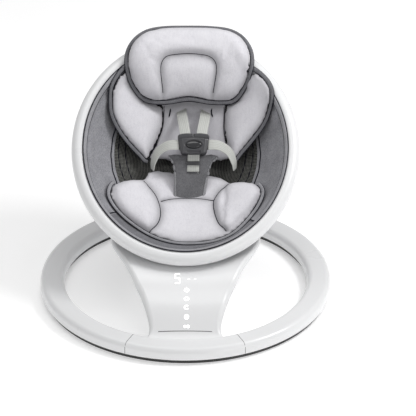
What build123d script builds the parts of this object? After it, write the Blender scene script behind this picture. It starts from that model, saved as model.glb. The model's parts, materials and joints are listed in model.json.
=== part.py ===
"""Baby swing: a floor ring, a wide stem with the drive inside it, and an oval seat hoop that sways on its head.

Frame: the origin is the centre of the floor ring, on the floor. -Y is the front (the sitter's feet),
+Y the rear (the head end), +X the right seen from the front, +Z up. Units are millimetres.
"""

import os
from math import cos, radians, sin

from build123d import *

os.makedirs("parts", exist_ok=True)

# ---------------------------------------------------------------- driving dimensions
BASE_R = 330.0  # floor ring, outside radius
BASE_W = 54.0  # radial width of the ring
BASE_LOW = 10.0  # underside of the white ring, on top of the foot ring
BASE_TOP = 38.0
BASE_WALL = 3.0
HUB_HALF_ANGLE = 24.0  # the front hub takes this much of the ring, each side of centre
FOOT_INSET = 7.0  # the foot ring stands in from the ring's edges by this much
FIT = 0.2  # face to face clearance between moulded parts
SOFT_GAP = 0.6  # clearance between soft parts

SEAT_TILT = 35.0
SEAT_Y, SEAT_Z = 109.5, 300.8  # centre of the hoop
HOOP_A, HOOP_B = 242.0, 271.0  # half width and half length of the hoop's centre line
TUBE_R = 17.0
TUBE_WALL = 2.6
FRAME_R = 14.2  # steel tube inside the hoop's covers
FRAME_WALL = 1.6

PIVOT_Y, PIVOT_Z = -72.0, 125.6  # where the sway axis leaves the stem's head
PIVOT_LEAN = 18.0  # the sway axis leans back from upright by this angle
SHAFT_R = 10.0
BEARING_R = 16.0
BEARING_H = 9.0
RUN_GAP = 0.05  # radial running clearance of the shaft in its bearings

STEM_WALL = 3.2
CREASE_Y = -260.0  # front edge of the stem's top cover
PANEL_TILT = 31.0  # slope of the touch panel
PANEL_Y, PANEL_Z = -199.0, 91.5

HARNESS_X = 18.0  # the buckle hangs a little to one side
WEB_W, WEB_T = 24.0, 1.6  # webbing

# ---------------------------------------------------------------- planes
_s, _c = sin(radians(SEAT_TILT)), cos(radians(SEAT_TILT))
SEAT = Plane(origin=(0, SEAT_Y, SEAT_Z), x_dir=(1, 0, 0), z_dir=(0, -_s, _c))
PIVOT = Plane(
    origin=(0, PIVOT_Y, PIVOT_Z),
    x_dir=(1, 0, 0),
    z_dir=(0, sin(radians(PIVOT_LEAN)), cos(radians(PIVOT_LEAN))),
)
PANEL = Plane(
    origin=(0, PANEL_Y, PANEL_Z),
    x_dir=(1, 0, 0),
    z_dir=(0, -sin(radians(PANEL_TILT)), cos(radians(PANEL_TILT))),
)


def save(part, name):
    """Labels a finished piece and writes its STEP file."""
    part.label = name
    export_step(part, f"parts/{name}.step")


def tilted(origin, turn):
    """Plane at a point of the seat frame, turned about its X axis by turn degrees from the hoop's plane."""
    a = radians(SEAT_TILT + turn)
    return Plane(origin=SEAT.from_local_coords(Vector(*origin)), x_dir=(1, 0, 0), z_dir=(0, -sin(a), cos(a)))


def radial_plane(angle):
    """Upright plane through the Z axis: local x points outward at angle degrees from the front, local y up."""
    a = radians(angle)
    outward = Vector(sin(a), -cos(a), 0)
    return Plane(origin=(0, 0, 0), x_dir=outward, z_dir=outward.cross(Vector(0, 0, 1)))


def cylinder_at(plane, x, y, low, high, radius):
    """Round bar along a plane's normal, from low to high."""
    with BuildPart(mode=Mode.PRIVATE) as bar:
        with BuildSketch(plane.offset(low)):
            with Locations((x, y)):
                Circle(radius)
        extrude(amount=high - low)
    return bar.part


# ---------------------------------------------------------------- floor ring
SPIGOT_ANGLE = 3.0  # each joint spigot reaches this far into both ring parts
RING_MID = BASE_R - BASE_W / 2


def ring_arc(start, sweep_angle, inset=0.0):
    """A stretch of the floor ring's section, shrunk by inset, from start degrees on."""
    wide, high = BASE_W - 2 * inset, BASE_TOP - BASE_LOW - 2 * inset
    with BuildPart(mode=Mode.PRIVATE) as arc:
        with BuildSketch(radial_plane(start)) as section:
            with Locations((RING_MID, (BASE_TOP + BASE_LOW) / 2)):
                Rectangle(wide, high)
            fillet(section.vertices().group_by(Axis.Y)[-1], 12.5 - inset)
            fillet(section.vertices().group_by(Axis.Y)[0], 4.0 - inset * 0.8)
        revolve(axis=Axis.Z, revolution_arc=sweep_angle)
    return arc.part


def ring_points(half_angle=2.0):
    """Places of the joint screws: two at each of the ring's three joints."""
    points = []
    for joint in (HUB_HALF_ANGLE, 180.0, -HUB_HALF_ANGLE):
        for step in (-half_angle, half_angle):
            a = radians(joint + step)
            points.append((RING_MID * sin(a), -RING_MID * cos(a)))
    return points


def base_tubes():
    """Two hollow curved tubes that plug into the front hub and meet at the rear."""
    half = 180 - HUB_HALF_ANGLE
    for side, turn in (("right", 1), ("left", -1)):
        outer = ring_arc(turn * HUB_HALF_ANGLE, turn * half)
        inner = ring_arc(turn * HUB_HALF_ANGLE, turn * half, BASE_WALL)
        with BuildPart() as tube:
            add(outer)
            add(inner, mode=Mode.SUBTRACT)
            with BuildSketch(Plane.XY):
                with Locations(*ring_points()):
                    Circle(2.2)
            extrude(amount=BASE_LOW + BASE_WALL + 1, mode=Mode.SUBTRACT)
        save(tube.part, f"base_tube_{side}")


def base_spigots():
    """Plugs inside the ring's three joints, with screw holes."""
    joints = (
        ("rear_joint_spigot", 180.0),
        ("hub_spigot_right", HUB_HALF_ANGLE),
        ("hub_spigot_left", -HUB_HALF_ANGLE),
    )
    for name, angle in joints:
        plug = ring_arc(angle - SPIGOT_ANGLE, 2 * SPIGOT_ANGLE, BASE_WALL + FIT)
        with BuildPart() as spigot:
            add(plug)
            with BuildSketch(Plane.XY.offset(BASE_LOW)):
                with Locations(*ring_points()):
                    Circle(2.0)
            extrude(amount=18, mode=Mode.SUBTRACT)
        save(spigot.part, name)


def foot_ring():
    """Dark non-slip ring that the base stands on, with access holes for the joint screws."""
    with BuildPart() as foot:
        with BuildSketch(Plane.XY):
            Circle(BASE_R - FOOT_INSET)
            Circle(BASE_R - BASE_W + FOOT_INSET, mode=Mode.SUBTRACT)
            with Locations(*ring_points()):
                Circle(6.0, mode=Mode.SUBTRACT)
        extrude(amount=BASE_LOW)
        chamfer(foot.faces().sort_by(Axis.Z)[0].outer_wire().edges(), 1.0)
    save(foot.part, "foot_ring")


def base_screws():
    """Six joint screws, heads downward."""
    with BuildPart() as screws:
        with BuildSketch(Plane.XY.offset(BASE_LOW - 3.0)):
            with Locations(*ring_points()):
                Circle(4.6)
        extrude(amount=3.0)
        with BuildSketch(Plane.XY.offset(BASE_LOW)):
            with Locations(*ring_points()):
                Circle(2.0)
        extrude(amount=16.0)
        with BuildSketch(Plane.XY.offset(BASE_LOW - 3.0)):
            with Locations(*ring_points()):
                RegularPolygon(2.2, 6)
        extrude(amount=1.6, mode=Mode.SUBTRACT)
    save(screws.part, "base_screws")


# ---------------------------------------------------------------- stem
# Stations along the stem: y, height of the top on the centre line, half width, lift of the edges
# above the centre, thickness on the centre line, thickness at the edges.
STEM_STATIONS = (
    (-300, 31, 112, 0.5, 20, 17),
    (-279, 35, 88, 0.5, 22, 18),
    (-262, 42, 73.5, 0.5, 27, 20),
    (-238, 63.5, 71.5, 0.8, 40, 22),
    (-205, 88, 82, 2, 50, 24),
    (-160, 111, 103, 5, 58, 22),
    (-118, 122.5, 121, 8, 61, 19),
    (-75, 125.5, 142, 11, 61, 16),
    (-35, 124, 158, 13, 55, 14),
    (0, 121, 163, 14, 40, 13),
    (26, 118, 146, 14, 18, 12),
)
# Screws that hold the top cover: x, y and the level where cover boss and shell post meet.
COVER_SCREWS = ((-52, -205, 66), (52, -205, 66), (-98, -38, 104), (98, -38, 104))
HOUSING_LOW, HOUSING_HIGH, HOUSING_R = -42.0, -15.0, 24.0
FLANGE_X, FLANGE_Y, FLANGE_T = 116.0, 44.0, 4.0
FLANGE_SCREWS = ((-50, -14), (50, -14), (-50, 14), (50, 14))
BOARD_Z, BOARD_Y = 97.0, -20.0
BOARD_SCREWS = ((-52, -32), (52, -32), (-52, -8), (52, -8))


def stem_plane(y, z):
    """Upright plane across the stem at y, local y up."""
    return Plane(origin=(0, y, z), x_dir=(1, 0, 0), z_dir=(0, -1, 0))


def stem_body(inset=0.0):
    """The stem's outside as one solid, shrunk by inset."""
    with BuildPart(mode=Mode.PRIVATE) as body:
        for y, z, half, lift, thick, edge in STEM_STATIONS:
            shift = inset if y > 0 else 0
            with BuildSketch(stem_plane(y - shift, z)):
                x, low = half - inset, -thick + inset
                top, under = lift - inset, lift - edge + inset
                tip = x + (top - under) * 0.45
                with BuildLine():
                    ThreePointArc((-x, top), (0, -inset), (x, top))
                    ThreePointArc((x, top), (tip, (top + under) / 2), (x, under))
                    ThreePointArc((x, under), (0, low), (-x, under))
                    ThreePointArc((-x, under), (-tip, (top + under) / 2), (-x, top))
                make_face()
        loft()
    return body.part


def stem_cutter(gap):
    """Everything above the stem's parting line, from the crease to the rear."""
    with BuildPart(mode=Mode.PRIVATE) as cutter:
        rows = [s for s in STEM_STATIONS if s[0] > CREASE_Y]
        first = (CREASE_Y,) + STEM_STATIONS[2][1:]
        last = (46,) + STEM_STATIONS[-1][1:]
        for y, z, half, lift, thick, edge in [first] + rows + [last]:
            with BuildSketch(stem_plane(y, z - gap)):
                x, side, middle = half + 30, lift - edge * 0.45, -10
                with BuildLine():
                    ThreePointArc((-x, side), (0, middle), (x, side))
                    Line((x, side), (x, 90))
                    Line((x, 90), (-x, 90))
                    Line((-x, 90), (-x, side))
                make_face()
        loft()
    return cutter.part


def stem_shells():
    """Lower shell with the hub of the floor ring, and the top cover with touch panel and dish."""
    outside = stem_body()
    inside = stem_body(STEM_WALL)
    hub = ring_arc(-HUB_HALF_ANGLE, 2 * HUB_HALF_ANGLE)
    hub_inside = ring_arc(-HUB_HALF_ANGLE, 2 * HUB_HALF_ANGLE, BASE_WALL)
    upper = stem_cutter(0.0)
    below = stem_cutter(FIT)

    with BuildPart(mode=Mode.PRIVATE) as posts:
        for x, y, level in COVER_SCREWS:
            add(cylinder_at(Plane.XY, x, y, 0, level, 7.0))
        for x, y in FLANGE_SCREWS:
            add(cylinder_at(PIVOT, x, y, -90, HOUSING_LOW, 5.5))
        for x, y in BOARD_SCREWS:
            add(cylinder_at(Plane.XY, x, y, 0, BOARD_Z, 4.0))
        with BuildSketch(PIVOT.offset(COIL_LOW - COIL_SEAT)):
            with Locations((0, -MAGNET_REACH)):
                Rectangle(16, 12)
        extrude(amount=-60)
        add(outside, mode=Mode.INTERSECT)
    with BuildPart() as lower:
        add(outside)
        add(hub)
        add(inside, mode=Mode.SUBTRACT)
        add(hub_inside, mode=Mode.SUBTRACT)
        add(posts.part)
        add(below, mode=Mode.SUBTRACT)
        for x, y, level in COVER_SCREWS:
            add(cylinder_at(Plane.XY, x, y, 0, level - 3, 4.6), mode=Mode.SUBTRACT)
            add(cylinder_at(Plane.XY, x, y, 0, level, 2.1), mode=Mode.SUBTRACT)
        for x, y in FLANGE_SCREWS:
            add(cylinder_at(PIVOT, x, y, HOUSING_LOW - 12, HOUSING_LOW, 1.8), mode=Mode.SUBTRACT)
        for x, y in BOARD_SCREWS:
            add(cylinder_at(Plane.XY, x, y, BOARD_Z - 8, BOARD_Z, 1.3), mode=Mode.SUBTRACT)
        with BuildSketch(Plane.XY):
            with Locations(*ring_points()):
                Circle(2.2)
        extrude(amount=BASE_LOW + BASE_WALL + 1, mode=Mode.SUBTRACT)
        add(inlet_nose(5.2, INLET_DEPTH, 1.0), mode=Mode.SUBTRACT)
    save(lower.part, "base_front_hub")

    with BuildPart(mode=Mode.PRIVATE) as bosses:
        for x, y, level in COVER_SCREWS:
            add(cylinder_at(Plane.XY, x, y, level, 150, 6.0))
        add(outside, mode=Mode.INTERSECT)
    with BuildPart() as cover:
        add(outside)
        add(inside, mode=Mode.SUBTRACT)
        add(upper, mode=Mode.INTERSECT)
        add(bosses.part)
        for x, y, level in COVER_SCREWS:
            add(cylinder_at(Plane.XY, x, y, level, level + 12, 1.8), mode=Mode.SUBTRACT)
        add(cylinder_at(PIVOT, 0, 0, -20, 20, SHAFT_R + 4.5), mode=Mode.SUBTRACT)
    save(cover.part, "stem_top_cover")


def stem_screws():
    """Screws of the top cover, the bearing housing and the control board, in three groups."""
    with BuildPart() as cover_screws:
        for x, y, level in COVER_SCREWS:
            add(cylinder_at(Plane.XY, x, y, level - 5.6, level - 3, 4.2))
            add(cylinder_at(Plane.XY, x, y, level - 3, level + 11, 1.8))
    save(cover_screws.part, "cover_screws")
    top = HOUSING_LOW + FLANGE_T
    with BuildPart() as housing_screws:
        for x, y in FLANGE_SCREWS:
            add(cylinder_at(PIVOT, x, y, top, top + 2.6, 3.8))
            add(cylinder_at(PIVOT, x, y, HOUSING_LOW - 11, top, 1.8))
    save(housing_screws.part, "housing_screws")
    with BuildPart() as board_screws:
        for x, y in BOARD_SCREWS:
            add(cylinder_at(Plane.XY, x, y, BOARD_Z + 1.6, BOARD_Z + 3.4, 2.8))
            add(cylinder_at(Plane.XY, x, y, BOARD_Z - 7, BOARD_Z + 1.6, 1.3))
    save(board_screws.part, "board_screws")


# ---------------------------------------------------------------- drive
LEVER_LOW, LEVER_HIGH = -48.0, -42.5
MAGNET_REACH = 57.0  # from the sway axis to the magnet's middle
MAGNET_H = 9.0
COIL_GAP = 1.5
COIL_H = 7.5
COIL_HIGH = LEVER_LOW - MAGNET_H - COIL_GAP
COIL_LOW = COIL_HIGH - COIL_H
COIL_SEAT = 4.0


def bearing_housing():
    """Turned housing with a bearing seat at each end and a screwed flange."""
    with BuildPart() as housing:
        with BuildSketch(PIVOT.offset(HOUSING_LOW)):
            Circle(HOUSING_R)
        extrude(amount=HOUSING_HIGH - HOUSING_LOW)
        with BuildSketch(PIVOT.offset(HOUSING_LOW)):
            RectangleRounded(FLANGE_X, FLANGE_Y, 6)
        extrude(amount=FLANGE_T)
        with BuildSketch(PIVOT.offset(HOUSING_LOW)):
            Circle(SHAFT_R + 3)
            with Locations(*FLANGE_SCREWS):
                Circle(2.1)
        extrude(amount=HOUSING_HIGH - HOUSING_LOW, mode=Mode.SUBTRACT)
        for low in (HOUSING_LOW, HOUSING_HIGH - BEARING_H):
            with BuildSketch(PIVOT.offset(low)):
                Circle(BEARING_R)
            extrude(amount=BEARING_H, mode=Mode.SUBTRACT)
    save(housing.part, "bearing_housing")


def bearings():
    """Two plain flangeless bearings for the sway shaft."""
    for name, low in (("bearing_lower", HOUSING_LOW), ("bearing_upper", HOUSING_HIGH - BEARING_H)):
        with BuildPart() as bearing:
            with BuildSketch(PIVOT.offset(low)):
                Circle(BEARING_R)
                Circle(SHAFT_R + RUN_GAP, mode=Mode.SUBTRACT)
            extrude(amount=BEARING_H)
            chamfer(bearing.edges().filter_by(GeomType.CIRCLE).group_by(SortBy.RADIUS)[-1], 0.6)
        save(bearing.part, name)


def swing_shaft():
    """Steel shaft with a thrust collar, a circlip groove and a threaded hole in its head."""
    with BuildPart() as shaft:
        with BuildSketch(PIVOT.offset(SHAFT_LOW)):
            Circle(SHAFT_R)
        extrude(amount=SHAFT_HIGH - SHAFT_LOW)
        with BuildSketch(PIVOT.offset(HOUSING_HIGH + FIT)):
            Circle(SHAFT_R + 3.2)
        extrude(amount=6.0)
        with BuildSketch(PIVOT.offset(CLIP_LOW)):
            Circle(SHAFT_R + 1)
            Circle(SHAFT_R - 1.2, mode=Mode.SUBTRACT)
        extrude(amount=CLIP_H, mode=Mode.SUBTRACT)
        with BuildSketch(PIVOT.offset(SHAFT_HIGH)):
            Circle(2.5)
        extrude(amount=-14, mode=Mode.SUBTRACT)
    save(shaft.part, "swing_shaft")


SHAFT_LOW, SHAFT_HIGH = -51.0, 6.2
CLIP_LOW, CLIP_H = -49.6, 1.2


def drive_parts():
    """Circlip, magnet lever, magnet, coil and the coil's seat."""
    with BuildPart() as clip:
        with BuildSketch(PIVOT.offset(CLIP_LOW)):
            Circle(SHAFT_R + 3)
            Circle(SHAFT_R - 1.2, mode=Mode.SUBTRACT)
            with Locations((0, SHAFT_R)):
                Rectangle(6, 8, mode=Mode.SUBTRACT)
        extrude(amount=CLIP_H)
    save(clip.part, "shaft_circlip")
    with BuildPart() as lever:
        with BuildSketch(PIVOT.offset(LEVER_LOW)):
            Circle(SHAFT_R + 6)
            with Locations((0, -MAGNET_REACH / 2)):
                Rectangle(16, MAGNET_REACH)
            with Locations((0, -MAGNET_REACH)):
                RectangleRounded(34, 20, 3)
            Circle(SHAFT_R, mode=Mode.SUBTRACT)
        extrude(amount=LEVER_HIGH - LEVER_LOW)
    save(lever.part, "magnet_lever")
    with BuildPart() as magnet:
        with BuildSketch(PIVOT.offset(LEVER_LOW)):
            with Locations((0, -MAGNET_REACH)):
                Rectangle(30, 16)
        extrude(amount=-MAGNET_H)
    save(magnet.part, "drive_magnet")
    with BuildPart() as coil:
        with BuildSketch(PIVOT.offset(COIL_LOW)):
            with Locations((0, -MAGNET_REACH)):
                SlotOverall(48, 24)
                SlotOverall(30, 6, mode=Mode.SUBTRACT)
        extrude(amount=COIL_H)
    save(coil.part, "drive_coil")
    with BuildPart() as seat:
        with BuildSketch(PIVOT.offset(COIL_LOW - COIL_SEAT)):
            with Locations((0, -MAGNET_REACH)):
                RectangleRounded(54, 28, 4)
        extrude(amount=COIL_SEAT)
        with BuildSketch(PIVOT.offset(COIL_LOW)):
            with Locations((0, -MAGNET_REACH)):
                SlotOverall(29, 5)
        extrude(amount=COIL_H - 1)
    save(seat.part, "coil_holder")


def electronics():
    """Control board, touch board with its light guide, and the loudspeaker."""
    with BuildPart() as board:
        with BuildSketch(Plane.XY.offset(BOARD_Z)):
            with Locations((0, BOARD_Y)):
                Rectangle(120, 34)
            with Locations(*BOARD_SCREWS):
                Circle(1.5, mode=Mode.SUBTRACT)
        extrude(amount=1.6)
        with BuildSketch(Plane.XY.offset(BOARD_Z + 1.6)):
            with Locations((-20, BOARD_Y), (12, BOARD_Y + 3)):
                Rectangle(14, 12)
        extrude(amount=3)
    save(board.part, "control_board")
    with BuildPart() as touch:
        with BuildSketch(PANEL.offset(-17)):
            with Locations((0, -16)):
                RectangleRounded(70, 58, 3)
        extrude(amount=1.6)
    save(touch.part, "touch_board")
    with BuildPart() as guide:
        with BuildSketch(PANEL.offset(-15.4)):
            with Locations((0, -16)):
                RectangleRounded(40, 54, 3)
        extrude(amount=2.4)
        with BuildSketch(PANEL.offset(-13)):
            with Locations((0, -16)):
                with GridLocations(1, 11.5, 1, 4):
                    Circle(4.4)
        extrude(amount=4)
    save(guide.part, "light_guide")
    with BuildPart() as speaker:
        with BuildSketch(Plane.XY.offset(99)):
            with Locations((-76, -86)):
                Circle(17)
        extrude(amount=4)
        with BuildSketch(Plane.XY.offset(103)):
            with Locations((-76, -86)):
                Circle(12)
        extrude(amount=8)
    save(speaker.part, "loudspeaker")


# ---------------------------------------------------------------- power inlet
INLET_ANGLE = 19.4  # on the inner side of the ring's hub
INLET_Z = 23.0
INLET_DEPTH = 9.0
INLET_BORE = 2.8
INLET_RISE = 3.0  # the socket looks up by this much, so a lead clears the ring's far side


def inlet_plane(face):
    """Plane at a radius of the hub's inner wall whose normal is the way that a plug comes out."""
    a, rise = radians(INLET_ANGLE), radians(INLET_RISE)
    out = Vector(-sin(a) * cos(rise), cos(a) * cos(rise), sin(rise))
    up = Vector(sin(a) * sin(rise), -cos(a) * sin(rise), cos(rise))
    return Plane(origin=(face * sin(a), -face * cos(a), INLET_Z), x_dir=up, z_dir=out)


def inlet_nose(radius, depth, proud=0.0):
    """Round plug through the hub's inner wall, starting at the wall's outside."""
    return cylinder_at(inlet_plane(BASE_R - BASE_W), 0, 0, -depth, proud, radius)


def dc_inlet():
    """Round socket of the power adaptor, with a square back inside the hub."""
    nose = inlet_nose(5.0, 6.0)
    bore = inlet_nose(INLET_BORE, 11.0)
    with BuildPart() as inlet:
        add(nose)
        with BuildSketch(inlet_plane(BASE_R - BASE_W).offset(-BASE_WALL - FIT - 1.2)):
            Rectangle(12, 13)
        extrude(amount=-13)
        add(bore, mode=Mode.SUBTRACT)
    save(inlet.part, "dc_inlet")


# ---------------------------------------------------------------- seat hoop
def hoop_half(turn, radius, inner=None, first=0.0, last=0.0):
    """Half of the hoop from the foot to the head: a solid tube, or a band of its skin.

    A band lies between the inner radius and the radius; its angles run from outward (0) over the
    top (90) to inward (180).
    """
    with BuildPart(mode=Mode.PRIVATE) as half:
        with BuildLine(SEAT) as path:
            EllipticalCenterArc((0, 0), HOOP_A, HOOP_B, start_angle=-90 * turn, arc_size=180)
        start = path.line @ 0
        ahead = path.line % 0
        outward = (start - SEAT.origin).normalized()
        up = 1.0 if ahead.cross(outward).dot(SEAT.z_dir) > 0 else -1.0
        with BuildSketch(Plane(origin=start, x_dir=outward, z_dir=ahead)):
            if inner is None:
                Circle(radius)
            else:
                rays = [radians(angle) for angle in (first, (first + last) / 2, last)]
                low = [(inner * cos(a), up * inner * sin(a)) for a in rays]
                high = [(radius * cos(a), up * radius * sin(a)) for a in rays]
                with BuildLine():
                    ThreePointArc(low[0], low[1], low[2])
                    Line(low[2], high[2])
                    ThreePointArc(high[2], high[1], high[0])
                    Line(high[0], low[0])
                make_face()
        sweep(path=path.line)
    return half.part


SADDLE_SCREWS = ((-14, -103), (14, -103))


def seat_hoop():
    """Steel frame tube, two plastic covers over it and the fabric band that clips over the covers."""
    drill = [cylinder_at(Plane.XY, x, y, 120, 146, 2.0) for x, y in SADDLE_SCREWS]
    outer = [hoop_half(turn, FRAME_R) for turn in (1, -1)]
    inner = [hoop_half(turn, FRAME_R - FRAME_WALL) for turn in (1, -1)]
    with BuildPart() as frame:
        for half in outer:
            add(half)
        for half in inner:
            add(half, mode=Mode.SUBTRACT)
        for hole in drill:
            add(hole, mode=Mode.SUBTRACT)
    save(frame.part, "hoop_frame")
    for side, turn in (("right", 1), ("left", -1)):
        shell = hoop_half(turn, TUBE_R)
        hollow = hoop_half(turn, TUBE_R - TUBE_WALL)
        with BuildPart() as cover:
            add(shell)
            add(hollow, mode=Mode.SUBTRACT)
            for hole in drill:
                add(hole, mode=Mode.SUBTRACT)
        save(cover.part, f"hoop_cover_{side}")
    bands = [hoop_half(turn, TUBE_R + 2.3, TUBE_R + 0.3, 118, 176) for turn in (1, -1)]
    with BuildPart() as rim:
        for half in bands:
            add(half)
    save(rim.part, "sling_rim")


def seat_saddle():
    """Bracket between the shaft's head and the hoop's foot, with its screws."""
    tube = [hoop_half(turn, TUBE_R + 0.05) for turn in (1, -1)]
    bowl = bowl_solid(-SOFT_GAP, 1.0)
    with BuildPart() as saddle:
        with BuildSketch(Plane.XY.offset(SADDLE_LOW)):
            with Locations((0, -78)):
                RectangleRounded(58, 68, 10)
        extrude(amount=5.0)
        with BuildSketch(PIVOT):
            Circle(SHAFT_R + 5)
        extrude(amount=SHAFT_HIGH)
        with BuildSketch(Plane.XY.offset(SADDLE_LOW - 20)):
            Rectangle(200, 400)
        extrude(amount=20, mode=Mode.SUBTRACT)
        for half in tube:
            add(half, mode=Mode.SUBTRACT)
        add(bowl, mode=Mode.SUBTRACT)
        with BuildSketch(PIVOT.offset(-10)):
            Circle(SHAFT_R)
        extrude(amount=30, mode=Mode.SUBTRACT)
        for x, y in SADDLE_SCREWS:
            add(cylinder_at(Plane.XY, x, y, 100, 150, 2.2), mode=Mode.SUBTRACT)
    save(saddle.part, "seat_saddle")
    with BuildPart() as screws:
        for x, y in SADDLE_SCREWS:
            add(cylinder_at(Plane.XY, x, y, SADDLE_LOW - 1.4, SADDLE_LOW, 4.4))
            add(cylinder_at(Plane.XY, x, y, SADDLE_LOW, 144, 2.0))
    save(screws.part, "saddle_screws")


SADDLE_LOW = 128.2

# ---------------------------------------------------------------- sling and pads
# Rows of the bowl, from the rim down: depth below the hoop's plane, foot end, head end, half width.
BOWL_ROWS = (
    (8, -249, 249, 219.5),
    (-18, -247.5, 248.5, 217.5),
    (-42, -226, 243, 202),
    (-82, -163, 216, 158),
    (-116, -96, 158, 96),
)
SLING_T = 5.0


def bowl_solid(inset, top=8.0):
    """The bowl as a filled solid, shrunk by inset; top is the level of its open face."""
    with BuildPart(mode=Mode.PRIVATE) as bowl:
        rows = list(BOWL_ROWS)
        if top > rows[0][0]:
            rows[0] = (top,) + rows[0][1:]
        for w, foot, head, half in rows:
            level = w if w == rows[0][0] else w + inset * (0.35 if w > -60 else 0.85)
            with BuildSketch(SEAT.offset(level)):
                with Locations((0, (foot + head) / 2)):
                    Ellipse(half - inset, (head - foot) / 2 - inset)
        loft()
    return bowl.part


def sling():
    """Fabric bowl of the seat, open at the top."""
    outside = bowl_solid(0)
    inside = bowl_solid(SLING_T, 30)
    with BuildPart() as cloth:
        add(outside)
        add(inside, mode=Mode.SUBTRACT)
    save(cloth.part, "seat_sling")


INSERT_T = 24.0


PILLOW_V, PILLOW_W, PILLOW_L, PILLOW_R = 224.0, 296.0, 168.0, 40.0


def insert_pads():
    """The two loose pads that line the bowl: back pad with wings, seat pad with thigh bolsters."""
    fill = bowl_solid(SLING_T + SOFT_GAP, 30)
    room = bowl_solid(SLING_T + INSERT_T, 60)
    with BuildPart(mode=Mode.PRIVATE) as pillow_room:
        with BuildSketch(SEAT.offset(-140)):
            with Locations((0, PILLOW_V)):
                RectangleRounded(PILLOW_W + 2, PILLOW_L + 2, PILLOW_R + 1)
        extrude(amount=260)
    back = ((0, 44), (92, 34), (176, 62), (210, 128), (186, 202), (100, 236), (0, 240))
    seat = ((0, -226), (104, -198), (176, -120), (188, -50), (130, -14), (60, 8), (0, 22))
    for name, plan in (("insert_back", back), ("insert_seat", seat)):
        with BuildPart() as pad:
            with BuildSketch(SEAT.offset(-140)):
                with BuildLine():
                    Spline(*plan, tangents=((1, 0), (-1, 0)))
                    Line(plan[-1], plan[0])
                make_face()
                mirror(about=Plane.YZ)
            extrude(amount=134)
            add(fill, mode=Mode.INTERSECT)
            add(room, mode=Mode.SUBTRACT)
            add(pillow_room.part, mode=Mode.SUBTRACT)
        save(pad.part, name)


def head_pillow():
    """Padded head rest: lies on the back pad and over the hoop's head end."""
    room = bowl_solid(SLING_T + SOFT_GAP, 22)
    over = TUBE_R + 3.6
    side = (
        (144, -120), (148, -44), (192, -16), (222, 16), (246, 34), (274, 40), (298, 38),
        (305, 30), (298, over), (262, over), (262, -120),
    )
    with BuildPart(mode=Mode.PRIVATE) as allowed:
        add(room)
        with BuildSketch(SEAT.offset(over)):
            with Locations((0, 225)):
                Rectangle(400, 200)
        extrude(amount=60)
    with BuildPart(mode=Mode.PRIVATE) as plan:
        with BuildSketch(SEAT.offset(-140)):
            with Locations((0, PILLOW_V)):
                RectangleRounded(PILLOW_W, PILLOW_L, PILLOW_R)
        extrude(amount=220)
    with BuildPart() as pillow:
        with BuildSketch(Plane(origin=SEAT.origin, x_dir=(0, _c, _s), z_dir=(1, 0, 0))):
            with BuildLine():
                Polyline(*side, close=True)
            make_face()
        extrude(amount=150, both=True)
        add(plan.part, mode=Mode.INTERSECT)
        add(allowed.part, mode=Mode.INTERSECT)
    save(pillow.part, "head_pillow")


# ---------------------------------------------------------------- harness
BUCKLE_X, BUCKLE_V, BUCKLE_W = HARNESS_X, 30.0, -44.0
BUCKLE_TURN = 8.0
BUCKLE = tilted((BUCKLE_X, BUCKLE_V, BUCKLE_W), BUCKLE_TURN)
BUCKLE_TOP, BUCKLE_FOOT, BUCKLE_LEN, BUCKLE_T = 72.0, 60.0, 50.0, 19.0
POCKET_LOW, POCKET_HIGH = 3.0, 16.0
MOUTH_W, MOUTH_LOW, MOUTH_HIGH = 23.0, 4.4, 8.6
BUTTON_L, BUTTON_B = 34.0, 17.0
BUTTON_TRAVEL = 3.5
SPRING_R = 5.0
TONGUE_IN = 26.0  # length of the tongue's blade inside the buckle


def strap_between(name, start, end, width=WEB_W, side=(1, 0, 0)):
    """Flat webbing between two points of the seat frame; side is the direction of its width."""
    a, b = SEAT.from_local_coords(Vector(*start)), SEAT.from_local_coords(Vector(*end))
    along = (b - a).normalized()
    wide = SEAT.from_local_coords(Vector(*side)) - SEAT.origin
    normal = along.cross(wide).normalized()
    with BuildPart() as strap:
        with BuildSketch(Plane(origin=(a + b) * 0.5, x_dir=along, z_dir=normal)):
            Rectangle((b - a).length, width)
        extrude(amount=WEB_T / 2, both=True)
    save(strap.part, name)


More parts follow.
